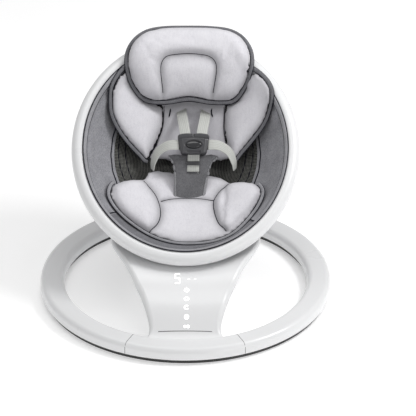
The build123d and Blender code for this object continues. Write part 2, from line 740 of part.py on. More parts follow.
def buckle():
    """Buckle body with a pocket, side mouths and a button hole; the button, its spring and two tongues."""
    with BuildPart() as body:
        with BuildSketch(BUCKLE):
            half, foot, end = BUCKLE_TOP / 2, BUCKLE_FOOT / 2, BUCKLE_LEN / 2
            Polygon((-half, end), (-foot, -end), (foot, -end), (half, end))
            fillet(vertices(), 8)
        extrude(amount=BUCKLE_T)
        with BuildSketch(BUCKLE.offset(POCKET_LOW)):
            RectangleRounded(48, 34, 3)
        extrude(amount=POCKET_HIGH - POCKET_LOW, mode=Mode.SUBTRACT)
        with BuildSketch(BUCKLE.offset(MOUTH_LOW)):
            Rectangle(120, MOUTH_W)
        extrude(amount=MOUTH_HIGH - MOUTH_LOW, mode=Mode.SUBTRACT)
        with BuildSketch(BUCKLE.offset(POCKET_HIGH)):
            Ellipse(BUTTON_L / 2 + 0.3, BUTTON_B / 2 + 0.3)
        extrude(amount=20, mode=Mode.SUBTRACT)
        with BuildSketch(BUCKLE.offset(-1)):
            with Locations((0, -BUCKLE_LEN / 2 + 4)):
                Rectangle(27, 3)
        extrude(amount=40, mode=Mode.SUBTRACT)
        with BuildSketch(BUCKLE.offset(-1)):
            with Locations((-20, BUCKLE_LEN / 2 - 4), (20, BUCKLE_LEN / 2 - 4)):
                Rectangle(26, 3)
        extrude(amount=40, mode=Mode.SUBTRACT)
    save(body.part, "buckle_body")
    with BuildPart() as button:
        with BuildSketch(BUCKLE.offset(POCKET_HIGH - 2.4)):
            Ellipse(BUTTON_L / 2, BUTTON_B / 2)
        extrude(amount=BUCKLE_T + 1.6 - POCKET_HIGH + 2.4)
        with BuildSketch(BUCKLE.offset(POCKET_HIGH - 2.4)):
            RectangleRounded(40, 22, 4)
        extrude(amount=2.2)
        with BuildSketch(BUCKLE.offset(POCKET_HIGH - 2.4)):
            Circle(SPRING_R + 0.6)
        extrude(amount=1.4, mode=Mode.SUBTRACT)
    save(button.part, "buckle_button")
    with BuildPart() as spring:
        with BuildSketch(BUCKLE.offset(POCKET_LOW)):
            Circle(SPRING_R)
            Circle(SPRING_R - 1, mode=Mode.SUBTRACT)
        extrude(amount=POCKET_HIGH - 1.1 - POCKET_LOW)
    save(spring.part, "button_spring")
    for side, turn in (("right", 1), ("left", -1)):
        with BuildPart() as tongue:
            with BuildSketch(BUCKLE.offset(MOUTH_LOW + 0.6)):
                with Locations((turn * (TONGUE_OUT - 1 + (TONGUE_OUT - TONGUE_IN)) / 2, 0)):
                    Rectangle(TONGUE_IN, MOUTH_W - 1)
                with Locations((turn * (TONGUE_OUT + 9), 0)):
                    RectangleRounded(20, WEB_W + 6, 3)
            extrude(amount=MOUTH_HIGH - MOUTH_LOW - 1.2)
            with BuildSketch(BUCKLE.offset(MOUTH_LOW - 1.4)):
                with Locations((turn * (TONGUE_OUT + 5), 0)):
                    RectangleRounded(8, WEB_W + 6, 3)
            extrude(amount=MOUTH_HIGH - MOUTH_LOW + 2.8)
            with BuildSketch(BUCKLE.offset(-5)):
                with Locations((turn * (TONGUE_OUT + 14), 0)):
                    Rectangle(3.4, WEB_W + 1)
            extrude(amount=30, mode=Mode.SUBTRACT)
        save(tongue.part, f"tongue_{side}")


TONGUE_OUT = BUCKLE_TOP / 2 + 1.0  # where the tongue's head starts, from the buckle's middle


def harness_straps():
    """Shoulder and waist webbing, crotch webbing with its slider and the crotch pad."""
    for side, turn in (("right", 1), ("left", -1)):
        strap_between(
            f"shoulder_strap_{side}",
            (HARNESS_X + turn * 20, 58, -33),
            (HARNESS_X + turn * 29, 132, -68),
        )
        strap_between(
            f"waist_strap_{side}",
            (HARNESS_X + turn * 64, 27, -43),
            (HARNESS_X - 12 + turn * 90, 4, -62),
            side=(turn * 0.35, 1, -0.2),
        )
    strap_between("crotch_webbing", (HARNESS_X - 3, -50, -70), (HARNESS_X, 2, -46))
    lower = tilted((HARNESS_X - 2, -36, -74), 24)
    with BuildPart() as pad:
        with BuildSketch(lower):
            Polygon((-62, 42), (-50, 26), (-44, -12), (38, -12), (52, 26), (62, 42))
            fillet(vertices(), 6)
        extrude(amount=8)
    save(pad.part, "crotch_pad")
    place = tilted((HARNESS_X, -10, -50.3), 24)
    with BuildPart() as slider:
        with BuildSketch(place):
            RectangleRounded(32, 14, 3)
            with Locations((0, 3.4), (0, -3.4)):
                Rectangle(25.4, 3, mode=Mode.SUBTRACT)
        extrude(amount=3)
    save(slider.part, "crotch_slider")


if __name__ == "__main__":
    base_tubes()
    base_spigots()
    foot_ring()
    base_screws()
    stem_shells()
    stem_screws()
    bearing_housing()
    bearings()
    swing_shaft()
    drive_parts()
    electronics()
    dc_inlet()
    seat_hoop()
    seat_saddle()
    sling()
    insert_pads()
    head_pillow()
    buckle()
    harness_straps()
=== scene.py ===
import json
import math

import bmesh
import bpy
import numpy as np
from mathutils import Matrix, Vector
from mathutils.bvhtree import BVHTree
from mathutils.geometry import delaunay_2d_cdt


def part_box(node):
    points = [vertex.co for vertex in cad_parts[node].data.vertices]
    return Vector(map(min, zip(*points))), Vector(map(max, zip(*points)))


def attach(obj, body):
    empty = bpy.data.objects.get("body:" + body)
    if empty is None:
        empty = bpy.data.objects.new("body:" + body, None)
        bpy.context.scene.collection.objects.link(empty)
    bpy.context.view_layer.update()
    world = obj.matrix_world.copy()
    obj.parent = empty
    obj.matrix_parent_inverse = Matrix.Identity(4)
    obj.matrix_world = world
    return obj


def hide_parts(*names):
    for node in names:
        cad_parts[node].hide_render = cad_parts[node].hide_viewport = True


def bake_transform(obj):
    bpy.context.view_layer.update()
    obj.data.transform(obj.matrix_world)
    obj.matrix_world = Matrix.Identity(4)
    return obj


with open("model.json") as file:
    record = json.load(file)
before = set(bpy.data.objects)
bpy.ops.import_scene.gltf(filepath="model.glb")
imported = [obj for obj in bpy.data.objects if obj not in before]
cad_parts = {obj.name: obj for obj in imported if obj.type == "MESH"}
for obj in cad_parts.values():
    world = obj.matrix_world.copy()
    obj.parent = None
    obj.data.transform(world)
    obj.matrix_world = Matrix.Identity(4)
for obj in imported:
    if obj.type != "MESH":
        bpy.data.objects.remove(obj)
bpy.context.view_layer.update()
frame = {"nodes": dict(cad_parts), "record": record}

# ---------------------------------------------------------------- the seat's own frame
MM = 0.001
SEAT_TILT = math.radians(35)
SEAT_COS, SEAT_SIN = math.cos(SEAT_TILT), math.sin(SEAT_TILT)
HOOP_LOW, HOOP_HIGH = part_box("hoop_frame")
SEAT_CENTRE = (HOOP_LOW + HOOP_HIGH) / 2
HOOP_A, HOOP_B = 242.0, 271.0  # half-width and half-length of the hoop's centre line, mm
HOOP_MEAN = 250.0  # mean radius of the hoop's centre line, mm
TUBE_R = 17.0  # radius of the hoop's tube, mm
FABRIC_R = 18.8  # radius of the fabric where it wraps the hoop, mm
REST_R = 20.0  # radius of the wrapped hoop as the padding rests on it, mm
REST_REACH, REST_BLEND = 30.0, 10.0  # where the bowl's surface starts to rise to the hoop, mm
REST_MIDDLE, REST_CURVE_V, REST_CURVE_X = -108, 0.00155, 0.0019  # the bowl as a shallow dish
RIM_FALL = 30.0  # the larger, the gentler the slope from the hoop into the bowl
BOWL_ROWS = (  # height, foot end, head end, half-width of the bowl's outside, mm
    (8, -249, 249, 219.5),
    (-18, -247.5, 248.5, 217.5),
    (-42, -226, 243, 202),
    (-82, -163, 216, 158),
    (-116, -96, 158, 96),
)


def seat(x, v, w):
    """A point across, along and above the seat, in mm, as a point of the model."""
    y = v * SEAT_COS - w * SEAT_SIN
    z = v * SEAT_SIN + w * SEAT_COS
    return SEAT_CENTRE + Vector((x, y, z)) * MM


def seat_vector(x, v, w):
    return Vector((x, v * SEAT_COS - w * SEAT_SIN, v * SEAT_SIN + w * SEAT_COS)).normalized()


def to_seat(point):
    """The reverse of seat()."""
    p = (Vector(point) - SEAT_CENTRE) / MM
    return p.x, p.y * SEAT_COS + p.z * SEAT_SIN, -p.y * SEAT_SIN + p.z * SEAT_COS


SEAT_UP = seat_vector(0, 0, 1)


def inward(x, v):
    """How far a point lies inside the hoop's centre line, in mm."""
    return (1 - math.hypot(x / HOOP_A, v / HOOP_B)) * HOOP_MEAN


def rest_height(x, v):
    """Height of the surface that the padding lies on: the bowl, and the hoop's fabric at its rim."""
    bowl = REST_MIDDLE + REST_CURVE_V * v * v + REST_CURVE_X * x * x
    gap = inward(x, v)
    if gap >= REST_REACH:
        return bowl
    rim = math.sqrt(max(0.0, REST_R**2 - min(max(gap, 0), REST_R) ** 2))
    return max(bowl, bowl + (rim - bowl) * min(1.0, (REST_REACH - gap) / REST_BLEND))


def rim_slope(x, v):
    """Height of a slope that leads from the hoop's fabric down into the bowl."""
    return REST_R - max(inward(x, v), 0.0) ** 2 / RIM_FALL


def soft_max(a, b, width=6.0):
    """The larger of two heights, with a rounded change from one to the other."""
    high, gap = max(a, b), abs(a - b)
    return high + (width / 4 * (1 - gap / width) ** 2 if gap < width else 0.0)


# ---------------------------------------------------------------- node materials


class Paint:
    """A node material with short calls for the textures used here."""

    def __init__(self, name, **sockets):
        self.material = bpy.data.materials.new(name)
        self.material.use_nodes = True
        self.nodes = self.material.node_tree.nodes
        self.links = self.material.node_tree.links
        self.shader = self.nodes["Principled BSDF"]
        for key, value in sockets.items():
            self.shader.inputs[key.replace("_", " ")].default_value = value
        coordinates = self.nodes.new("ShaderNodeTexCoord")
        self.place = coordinates.outputs["Object"]
        self.uv = coordinates.outputs["UV"]

    def node(self, kind, settings=(), **inputs):
        made = self.nodes.new("ShaderNode" + kind)
        for key, value in settings:
            setattr(made, key, value)
        for key, value in inputs.items():
            socket = made.inputs[int(key[1:])] if key[0] == "i" and key[1:].isdigit() else made.inputs[key]
            if isinstance(value, bpy.types.NodeSocket):
                self.links.new(value, socket)
            else:
                socket.default_value = value
        return made

    def stretched(self, scale):
        return self.node("Mapping", i0=self.place, i3=scale).outputs[0]

    def noise(self, scale, detail=2.0, roughness=0.5, source=None):
        made = self.node("TexNoise", Scale=scale, Detail=detail, Roughness=roughness)
        self.links.new(source or self.place, made.inputs["Vector"])
        return made.outputs["Fac"]

    def ramp(self, value, *stops):
        made = self.node("ValToRGB", i0=value)
        bar = made.color_ramp
        while len(bar.elements) < len(stops):
            bar.elements.new(0.5)
        for element, (position, colour) in zip(bar.elements, stops):
            element.position = position
            element.color = (*colour, 1)
        return made.outputs[0]

    def math(self, operation, a, b=0.0):
        return self.node("Math", (("operation", operation),), i0=a, i1=b).outputs[0]

    def sum_of(self, a, share_a, b, share_b):
        return self.math("ADD", self.math("MULTIPLY", a, share_a), self.math("MULTIPLY", b, share_b))

    def wave(self, value, pitch):
        return self.math("SINE", self.math("MULTIPLY", value, 2 * math.pi / pitch))

    def across_along(self):
        """The two directions of a piece's own weave, in metres."""
        parts = self.node("SeparateXYZ", i0=self.uv)
        return parts.outputs[0], parts.outputs[1]

    def mix(self, factor, a, b):
        made = self.nodes.new("ShaderNodeMix")
        made.data_type = "RGBA"
        for index, value in ((0, factor), (6, a), (7, b)):
            if isinstance(value, bpy.types.NodeSocket):
                self.links.new(value, made.inputs[index])
            else:
                made.inputs[index].default_value = value if index == 0 else (*value, 1)
        return made.outputs[2]

    def bump(self, height, strength, distance, base=None):
        made = self.node("Bump", Strength=strength, Distance=distance, Height=height)
        if base:
            self.links.new(base, made.inputs["Normal"])
        return made.outputs[0]

    def set(self, **sockets):
        for key, value in sockets.items():
            self.links.new(value, self.shader.inputs[key.replace("_", " ")])
        return self.material


def grey(value, tint=0.0):
    return (value, value, value + tint)


def moulded_plastic(name, colour, rough=0.32, coat=0.25, grain=0.05, spread=0.02):
    """Injection-moulded plastic: faint cloudiness, fine spark texture and slightly uneven gloss."""
    p = Paint(name, Roughness=rough, Coat_Weight=coat, Coat_Roughness=0.12)
    cloud = p.noise(9, 3)
    low = tuple(max(0, c - spread) for c in colour)
    high = tuple(min(1, c + spread * 0.5) for c in colour)
    fine = p.noise(1400, 2, 0.6)
    gloss = p.ramp(p.noise(14, 2), (0.3, grey(rough - 0.03)), (0.7, grey(rough + 0.04)))
    return p.set(
        Base_Color=p.ramp(cloud, (0.35, low), (0.65, high)),
        Roughness=gloss,
        Normal=p.bump(fine, grain, 0.0002),
    )


def metal(name, colour, rough, stretch=(60, 60, 900)):
    """Bright metal with machining lines."""
    p = Paint(name, Metallic=1.0)
    lines = p.noise(1.0, 3, 0.6, p.stretched(stretch))
    low = tuple(c * 0.82 for c in colour)
    return p.set(
        Base_Color=p.ramp(lines, (0.3, low), (0.7, colour)),
        Roughness=p.ramp(lines, (0.3, grey(rough + 0.1)), (0.7, grey(rough))),
        Normal=p.bump(lines, 0.12, 0.0002),
    )


def plush(name, light, dark, nap=0.35):
    """Short brushed pile: soft mottling, tiny tufts, and a sheen from the fibres' ends."""
    p = Paint(name, Roughness=0.95, Sheen_Weight=0.35, Sheen_Roughness=0.45, Specular_IOR_Level=0.12)
    cloud = p.noise(38, 4, 0.62)
    speck = p.noise(520, 3, 0.7)
    brushed = p.noise(1.0, 3, 0.6, p.stretched((260, 90, 90)))
    tone = p.sum_of(cloud, 0.5, brushed, 0.5)
    colour = p.ramp(tone, (0.36, dark), (0.62, light))
    colour = p.mix(p.ramp(speck, (0.38, grey(0.0)), (0.62, grey(1.0))), colour, light)
    # Painted shade near seams and pad edges: a point attribute darkens the colour there.
    painted_seam_shade = p.node("Attribute", (("attribute_name", "painted_seam_shade"),)).outputs["Fac"]
    colour = p.mix(painted_seam_shade, colour, tuple(c * 0.3 for c in dark))
    tufts = p.sum_of(speck, 0.7, brushed, 0.6)
    soft = p.bump(cloud, 0.25, 0.003)
    return p.set(Base_Color=colour, Normal=p.bump(tufts, nap, 0.0012, soft))


def heather(name, light, dark, sheen=0.2):
    """Melange knit: dark and pale yarns mixed in short streaks, with a fine rib."""
    p = Paint(name, Roughness=0.96, Sheen_Weight=sheen, Sheen_Roughness=0.5, Specular_IOR_Level=0.1)
    streak = p.noise(1.0, 4, 0.75, p.stretched((900, 260, 260)))
    patch = p.noise(30, 3, 0.6)
    tone = p.sum_of(streak, 0.75, patch, 0.25)
    colour = p.ramp(tone, (0.38, dark), (0.6, light))
    ribs = p.noise(900, 2, 0.5)
    return p.set(Base_Color=colour, Normal=p.bump(p.math("ADD", streak, ribs), 0.3, 0.0008))


def diamond_mesh(name, yarn, hole, pitch):
    """Open knitted mesh: yarns cross on two diagonals and dark holes show between them."""
    p = Paint(name, Roughness=0.85, Specular_IOR_Level=0.2)
    across, along = p.across_along()
    first = p.wave(p.math("ADD", across, along), pitch)
    cell = p.math("MULTIPLY", first, p.wave(p.math("SUBTRACT", across, along), pitch))
    wobble = p.math("MULTIPLY", p.math("SUBTRACT", p.noise(160, 2), 0.5), 0.2)
    level = p.math("ADD", p.math("MULTIPLY", p.math("ADD", cell, 1.0), 0.5), wobble)
    colour = p.ramp(level, (0.42, hole), (0.72, yarn))
    return p.set(Base_Color=colour, Normal=p.bump(level, 0.6, 0.0012))


def webbing(name, light, dark):
    """Flat woven strap: ribs across it and three rows of warp along it."""
    p = Paint(name, Roughness=0.8, Sheen_Weight=0.15, Specular_IOR_Level=0.25)
    across, along = p.across_along()
    rib, warp = p.wave(along, 0.0017), p.wave(across, 0.004)
    weave = p.sum_of(rib, 0.3, warp, 0.22)
    level = p.math("ADD", p.math("ADD", weave, 0.5), p.math("MULTIPLY", p.noise(240, 3), 0.35))
    colour = p.ramp(level, (0.25, dark), (0.9, light))
    return p.set(Base_Color=colour, Normal=p.bump(weave, 0.5, 0.0006))


def dark_gap(name, colour):
    """Thread or shadowed seam: nearly black with a twisted-yarn variation."""
    p = Paint(name, Roughness=0.9, Specular_IOR_Level=0.1)
    twist = p.noise(700, 2)
    return p.set(
        Base_Color=p.ramp(twist, (0.35, colour), (0.7, tuple(c * 1.8 for c in colour))),
        Normal=p.bump(twist, 0.3, 0.0005),
    )


def circuit(name):
    p = Paint(name, Roughness=0.4, Coat_Weight=0.4)
    tracks = p.node("TexBrick", Scale=160.0, i0=p.place).outputs[1]
    return p.set(
        Base_Color=p.ramp(tracks, (0.4, (0.02, 0.16, 0.07)), (0.6, (0.05, 0.3, 0.13))),
        Normal=p.bump(tracks, 0.2, 0.0002),
    )


def glowing(name, colour, strength):
    """Lit symbols: a pale film whose brightness varies a little at random."""
    p = Paint(name, Roughness=0.4, Emission_Strength=strength)
    level = p.noise(300, 1)
    tone = p.ramp(level, (0.3, tuple(c * 0.96 for c in colour)), (0.7, colour))
    return p.set(Base_Color=tone, Emission_Color=tone)


WHITE = moulded_plastic("white_shell", (0.80, 0.803, 0.81), 0.3, 0.3, 0.006, 0.005)
DARK_PLASTIC = moulded_plastic("dark_plastic", grey(0.06, 0.005), 0.38, 0.15, 0.12, 0.01)
BUTTON_PLASTIC = moulded_plastic("button_plastic", grey(0.02, 0.003), 0.16, 0.7, 0.01, 0.004)
JOINT_LINE = moulded_plastic("joint_shadow", grey(0.12), 0.7, 0.0, 0.1, 0.03)
PLUSH = plush("plush", (0.745, 0.735, 0.77), (0.62, 0.61, 0.65))
PLUSH_BACK = plush("plush_back", (0.68, 0.67, 0.705), (0.56, 0.55, 0.59))
HEATHER = heather("heather", (0.36, 0.36, 0.385), (0.19, 0.19, 0.205))
HEATHER_FRONT = heather("heather_front", (0.22, 0.22, 0.238), (0.108, 0.108, 0.119))
HEATHER_OUT = heather("heather_out", (0.24, 0.24, 0.255), (0.12, 0.12, 0.13))
BINDING = heather("binding", (0.20, 0.20, 0.215), (0.11, 0.11, 0.12))
BINDING_PALE = heather("binding_pale", (0.36, 0.36, 0.38), (0.22, 0.22, 0.235))
PAD_CLOTH = heather("pad_cloth", (0.19, 0.19, 0.20), (0.10, 0.10, 0.106))
PAD_EDGE = heather("pad_edge", (0.34, 0.34, 0.355), (0.2, 0.2, 0.21))
SEAM = dark_gap("seam", (0.012, 0.012, 0.018))
MESH = diamond_mesh("mesh", (0.19, 0.19, 0.175), (0.008, 0.008, 0.01), 0.0075)
WEBBING = webbing("webbing", (0.60, 0.61, 0.58), (0.42, 0.43, 0.405))
LIT = glowing("lit_symbols", (1.0, 1.0, 1.0), 1.5)

BY_SLOT = {
    "white_shell": WHITE, "dark_plastic": DARK_PLASTIC, "plush": PLUSH, "webbing": WEBBING,
    "grey_fabric": HEATHER, "dark_fabric": PAD_CLOTH, "circuit_board": circuit("circuit_board"),
    "pale_plastic": moulded_plastic("pale_plastic", grey(0.72), 0.4, 0.1),
    "inner_plastic": moulded_plastic("inner_plastic", grey(0.16), 0.55, 0.0),
    "foot_rubber": moulded_plastic("foot_rubber", grey(0.05), 0.75, 0.0, 0.25, 0.015),
    "light_guide": moulded_plastic("light_guide", grey(0.85, 0.02), 0.25, 0.2),
    "steel": metal("steel", grey(0.62), 0.25),
    "cast_alloy": metal("cast_alloy", grey(0.68), 0.5, (400, 400, 400)),
    "bronze": metal("bronze", (0.62, 0.43, 0.22), 0.35),
    "copper_wire": metal("copper_wire", (0.72, 0.36, 0.18), 0.3, (60, 60, 2400)),
    "magnet": metal("magnet", (0.55, 0.56, 0.6), 0.18),
}
SLOT_OF = {row["node"]: row["material_slot"] for row in frame["record"]["subparts"]}
for node_name, node_object in frame["nodes"].items():
    node_object.data.materials.clear()
    node_object.data.materials.append(BY_SLOT[SLOT_OF[node_name]])

# ---------------------------------------------------------------- curves and meshes


def spline(points, count, closed=False):
    """Points evenly spaced on a smooth curve through the given ones."""
    given = [Vector(p) for p in points]
    size = len(given)
    spans = size if closed else size - 1
    fine = []
    for i in range(spans):
        if closed:
            p0, p1, p2, p3 = (given[(i + k) % size] for k in (-1, 0, 1, 2))
        else:
            p1, p2 = given[i], given[i + 1]
            p0 = given[i - 1] if i else p1 * 2 - p2
            p3 = given[i + 2] if i + 2 < size else p2 * 2 - p1
        for k in range(16):
            t = k / 16
            fine.append(
                0.5 * (2 * p1 + (p2 - p0) * t + (2 * p0 - 5 * p1 + 4 * p2 - p3) * t * t
                       + (3 * p1 - p0 - 3 * p2 + p3) * t**3)
            )
    fine.append(given[0] if closed else given[-1])
    run = [0.0]
    for a, b in zip(fine, fine[1:]):
        run.append(run[-1] + (b - a).length)
    steps = count if closed else count - 1
    made, j = [], 0
    for i in range(count):
        target = run[-1] * i / steps
        while j < len(run) - 2 and run[j + 1] < target:
            j += 1
        span = run[j + 1] - run[j]
        made.append(fine[j].lerp(fine[j + 1], (target - run[j]) / span if span else 0))
    return made


def add_object(name, data):
    made = bpy.data.objects.new(name, data)
    bpy.context.scene.collection.objects.link(made)
    return made


def new_piece(name, verts, faces, materials, smooth=True):
    data = bpy.data.meshes.new(name)
    data.from_pydata([tuple(v) for v in verts], [], faces)
    bm = bmesh.new()
    bm.from_mesh(data)
    bmesh.ops.recalc_face_normals(bm, faces=bm.faces)
    bm.to_mesh(data)
    bm.free()
    for material in materials:
        data.materials.append(material)
    data.polygons.foreach_set("use_smooth", [smooth] * len(data.polygons))
    return add_object(name, data)


def ring_faces(rings, size, closed=False):
    """Quads between rings of points that follow one another, capped at both ends unless closed."""
    faces = []
    for i in range(rings if closed else rings - 1):
        j = (i + 1) % rings
        for k in range(size):
            m = (k + 1) % size
            faces.append((i * size + k, i * size + m, j * size + m, j * size + k))
    if not closed:
        faces.append(tuple(range(size)))
        faces.append(tuple((rings - 1) * size + k for k in reversed(range(size))))
    return faces


def tube(name, path, ups, side, rise, material, closed=False, around=10, taper=False):
    """A rope of oval section along a path; side and rise are its half-width and half-height, in mm."""
    count = len(path)
    verts = []
    for i, point in enumerate(path):
        ahead = path[(i + 1) % count] if closed or i + 1 < count else path[i]
        behind = path[i - 1] if closed or i else path[i]
        tangent = (ahead - behind).normalized()
        up = (ups[i] - tangent * ups[i].dot(tangent)).normalized()
        out = tangent.cross(up)
        size = max(0.25, min(1.0, 4 * min(i, count - 1 - i) / count + 0.25)) if taper else 1.0
        for k in range(around):
            angle = 2 * math.pi * k / around
            offset = out * math.cos(angle) * side * MM + up * math.sin(angle) * rise * MM
            verts.append(point + offset * size)
    return new_piece(name, verts, ring_faces(count, around, closed), [material])


def distances(points, loop, closed=True):
    """Distance from each point to a polyline, all in plan."""
    pts = np.array([(p[0], p[1]) for p in points], float)
    line = np.array([(p[0], p[1]) for p in loop], float)
    ends = np.roll(line, -1, axis=0) if closed else line[1:]
    starts = line if closed else line[:-1]
    best = np.full(len(pts), 1e9)
    for a, b in zip(starts, ends):
        d = b - a
        t = np.clip(((pts - a) @ d) / max(d @ d, 1e-9), 0, 1)
        best = np.minimum(best, np.hypot(*(pts - a - t[:, None] * d).T))
    return best


def inside(points, loop):
    pts = np.array([(p[0], p[1]) for p in points], float)
    found = np.zeros(len(pts), bool)
    line = [(p[0], p[1]) for p in loop]
    for (x0, y0), (x1, y1) in zip(line, line[1:] + line[:1]):
        crosses = (y0 > pts[:, 1]) != (y1 > pts[:, 1])
        if y0 != y1:
            at = x0 + (pts[:, 1] - y0) * (x1 - x0) / (y1 - y0)
            found ^= crosses & (pts[:, 0] < at)
    return found


def crown(ratio):
    """Rise of a stuffed section from 0 at its seam to 1 where it is full."""
    r = np.clip(ratio, 0, 1)
    return np.sqrt(np.maximum(0, 1 - (1 - r) ** 2))


def plan_mesh(outline, step):
    """Triangles that fill a closed outline: its own points first, then a grid inside."""
    xs = [p[0] for p in outline]
    ys = [p[1] for p in outline]
    grid = []
    row = 0
    y = min(ys)
    while y < max(ys):
        x = min(xs) + (step / 2 if row % 2 else 0)
        while x < max(xs):
            grid.append((x, y))
            x += step
        y += step * 0.87
        row += 1
    keep = inside(grid, outline) & (distances(grid, outline) > step * 0.6)
    points = [Vector((p[0], p[1])) for p in outline]
    edges = [(i, (i + 1) % len(points)) for i in range(len(points))]
    points += [Vector(g) for g, k in zip(grid, keep) if k]
    verts, _, faces, *_ = delaunay_2d_cdt(points, edges, [], 1, 1e-5)
    return verts, faces


def stuffed(name, outline, place, lift, low, material, step=7, full=30, regions=()):
    """A closed stuffed form: outline in plan, crowned above by lift and below by low.
    regions are (loop, rise, width) domes that stand above the rest."""
    verts2, faces = plan_mesh(outline, step)
    edge = crown(distances(verts2, outline) / full)
    top = np.full(len(verts2), float(lift))
    for loop, rise, width in regions:
        dome = lift + rise * crown(distances(verts2, loop) / width)
        top = np.where(inside(verts2, loop), np.maximum(top, dome), top)
    rim = len(outline)
    verts = [place(v[0], v[1], h) for v, h in zip(verts2, top * edge)]
    verts += [place(v[0], v[1], -low * e) for v, e in zip(verts2[rim:], edge[rim:])]
    under = [i if i < rim else i + len(verts2) - rim for i in range(len(verts2))]
    all_faces = [tuple(f) for f in faces] + [tuple(under[i] for i in reversed(f)) for f in faces]
    return new_piece(name, verts, all_faces, [material])


def apply_modifiers(piece):
    bpy.context.view_layer.update()
    evaluated = piece.evaluated_get(bpy.context.evaluated_depsgraph_get())
    data = bpy.data.meshes.new_from_object(evaluated)
    old = piece.data
    piece.modifiers.clear()
    piece.data = data
    bpy.data.meshes.remove(old)
    data.polygons.foreach_set("use_smooth", [True] * len(data.polygons))
    return piece


def subdivided(piece):
    piece.modifiers.new("smooth", "SUBSURF").levels = 1
    return apply_modifiers(piece)


CLOTH = {
    "quality": 5, "mass": 0.25, "tension_stiffness": 12, "compression_stiffness": 12,
    "shear_stiffness": 5, "bending_stiffness": 0.6, "use_pressure": True,
    "uniform_pressure_force": 4.0, "vertex_group_mass": "edge",
}
CLOTH_FRAMES = 20
HELD_EDGE = 5.0  # width of the edge that the simulation leaves in place, mm


def inflated(piece, outline, place, cap, voxel=5):
    """Fills a pad by simulation: its edge stays put and its faces swell by at most cap, in mm."""
    remesh = piece.modifiers.new("remesh", "REMESH")
    remesh.mode = "VOXEL"
    remesh.voxel_size = voxel * MM
    apply_modifiers(piece)
    coords = np.array([v.co for v in piece.data.vertices])
    ring = np.array([tuple(place(x, v, 0)) for x, v in outline])
    near = np.array([np.min(np.linalg.norm(ring - c, axis=1)) for c in coords])
    group = piece.vertex_groups.new(name="edge")
    for i in np.nonzero(near < (HELD_EDGE + voxel * 0.6) * MM)[0]:
        group.add([int(i)], 1.0, "REPLACE")
    cloth = piece.modifiers.new("fill", "CLOTH")
    for key, value in CLOTH.items():
        setattr(cloth.settings, key, value)
    cloth.settings.effector_weights.gravity = 0
    cloth.collision_settings.use_collision = False
    scene = bpy.context.scene
    for number in range(1, CLOTH_FRAMES + 1):
        scene.frame_set(number)
    evaluated = piece.evaluated_get(bpy.context.evaluated_depsgraph_get())
    moved = np.array([v.co for v in evaluated.data.vertices])
    shift = moved - coords
    length = np.linalg.norm(shift, axis=1, keepdims=True)
    limited = np.where(length > 1e-9, cap * MM * np.tanh(length / (cap * MM)) / np.maximum(length, 1e-9), 0)
    piece.modifiers.clear()
    piece.data.vertices.foreach_set("co", (coords + shift * limited).ravel())
    scene.frame_set(1)
    return subdivided(piece)


def paint_seam_shade(piece, curves, reach, strength=0.55):
    """Paints shade near seams and pad edges: writes a point attribute by which the plush material darkens
    its colour.
    """
    plan_points = [to_seat(v.co) for v in piece.data.vertices]
    gap = np.min([distances(plan_points, curve, closed) for curve, closed in curves], axis=0)
    layer = piece.data.attributes.new("painted_seam_shade", "FLOAT", "POINT")
    layer.data.foreach_set("value", (strength * np.exp(-((gap / reach) ** 1.4))).astype(np.float32))


def surface_of(piece):
    return BVHTree.FromPolygons(
        [v.co.copy() for v in piece.data.vertices], [tuple(p.vertices) for p in piece.data.polygons]
    )


def laid(tree, curve, place, raise_by=0.0):
    """Points on a piece's top face under a curve drawn in plan, with the surface's normals."""
    points, normals = [], []
    for p in curve:
        start = place(p[0], p[1], 80)
        down = (place(p[0], p[1], 0) - start).normalized()
        hit, normal, _, _ = tree.ray_cast(start, down)
        if hit is None:
            hit, normal, _, _ = tree.find_nearest(place(p[0], p[1], 0))
        if normal.dot(down) > 0:
            normal = -normal
        points.append(hit + normal * raise_by * MM)
        normals.append(normal)
    return points, normals


DENT_DEPTH, DENT_WIDTH = 3.2, 5.0  # how far a sewn line draws the pad in, mm


def dented(piece, curves):
    """Draws the top face in along sewn lines given in seat coordinates."""
    coords = [v.co.copy() for v in piece.data.vertices]
    plan_points = [to_seat(c) for c in coords]
    gap = np.min([distances(plan_points, curve, closed=False) for curve in curves], axis=0)
    pull = DENT_DEPTH * np.exp(-((gap / DENT_WIDTH) ** 2))
    for vertex, normal, amount, c in zip(piece.data.vertices, piece.data.vertex_normals, pull, coords):
        if amount > 0.05 and normal.vector.dot(SEAT_UP) > 0.1:
            vertex.co = c - SEAT_UP * float(amount) * MM


def ribbon(name, centre, normals, width, thick, count=40):
    """A flat strap along a smooth line, square-edged, with its weave's coordinates in metres."""
    path = spline(centre, count)
    faces_up = spline(normals, count)
    half, deep = width / 2 * MM, thick / 2 * MM
    corner = deep * 0.8
    section = (
        (-half, 0), (-half + corner * 0.4, deep * 0.8), (-half + corner, deep), (-half / 3, deep),
        (half / 3, deep), (half - corner, deep), (half - corner * 0.4, deep * 0.8), (half, 0),
        (half - corner * 0.4, -deep * 0.8), (half - corner, -deep), (-half + corner, -deep),
        (-half + corner * 0.4, -deep * 0.8),
    )
    verts, run, uv = [], 0.0, []
    for i, point in enumerate(path):
        tangent = (path[min(i + 1, count - 1)] - path[max(i - 1, 0)]).normalized()
        up = (faces_up[i] - tangent * faces_up[i].dot(tangent)).normalized()
        out = tangent.cross(up)
        if i:
            run += (point - path[i - 1]).length
        for s, h in section:
            verts.append(point + out * s + up * h)
            uv.append((s, run))
    made = new_piece(name, verts, ring_faces(count, len(section)), [WEBBING])
    layer = made.data.uv_layers.new(name="weave")
    for loop in made.data.loops:
        layer.data[loop.index].uv = uv[loop.vertex_index]
    return made


def ride(piece, body):
    """Puts a finished piece on its body."""
    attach(piece, body)
    return piece


def on_rest(x, v, h):
    return seat(x, v, rest_height(x, v) + h)


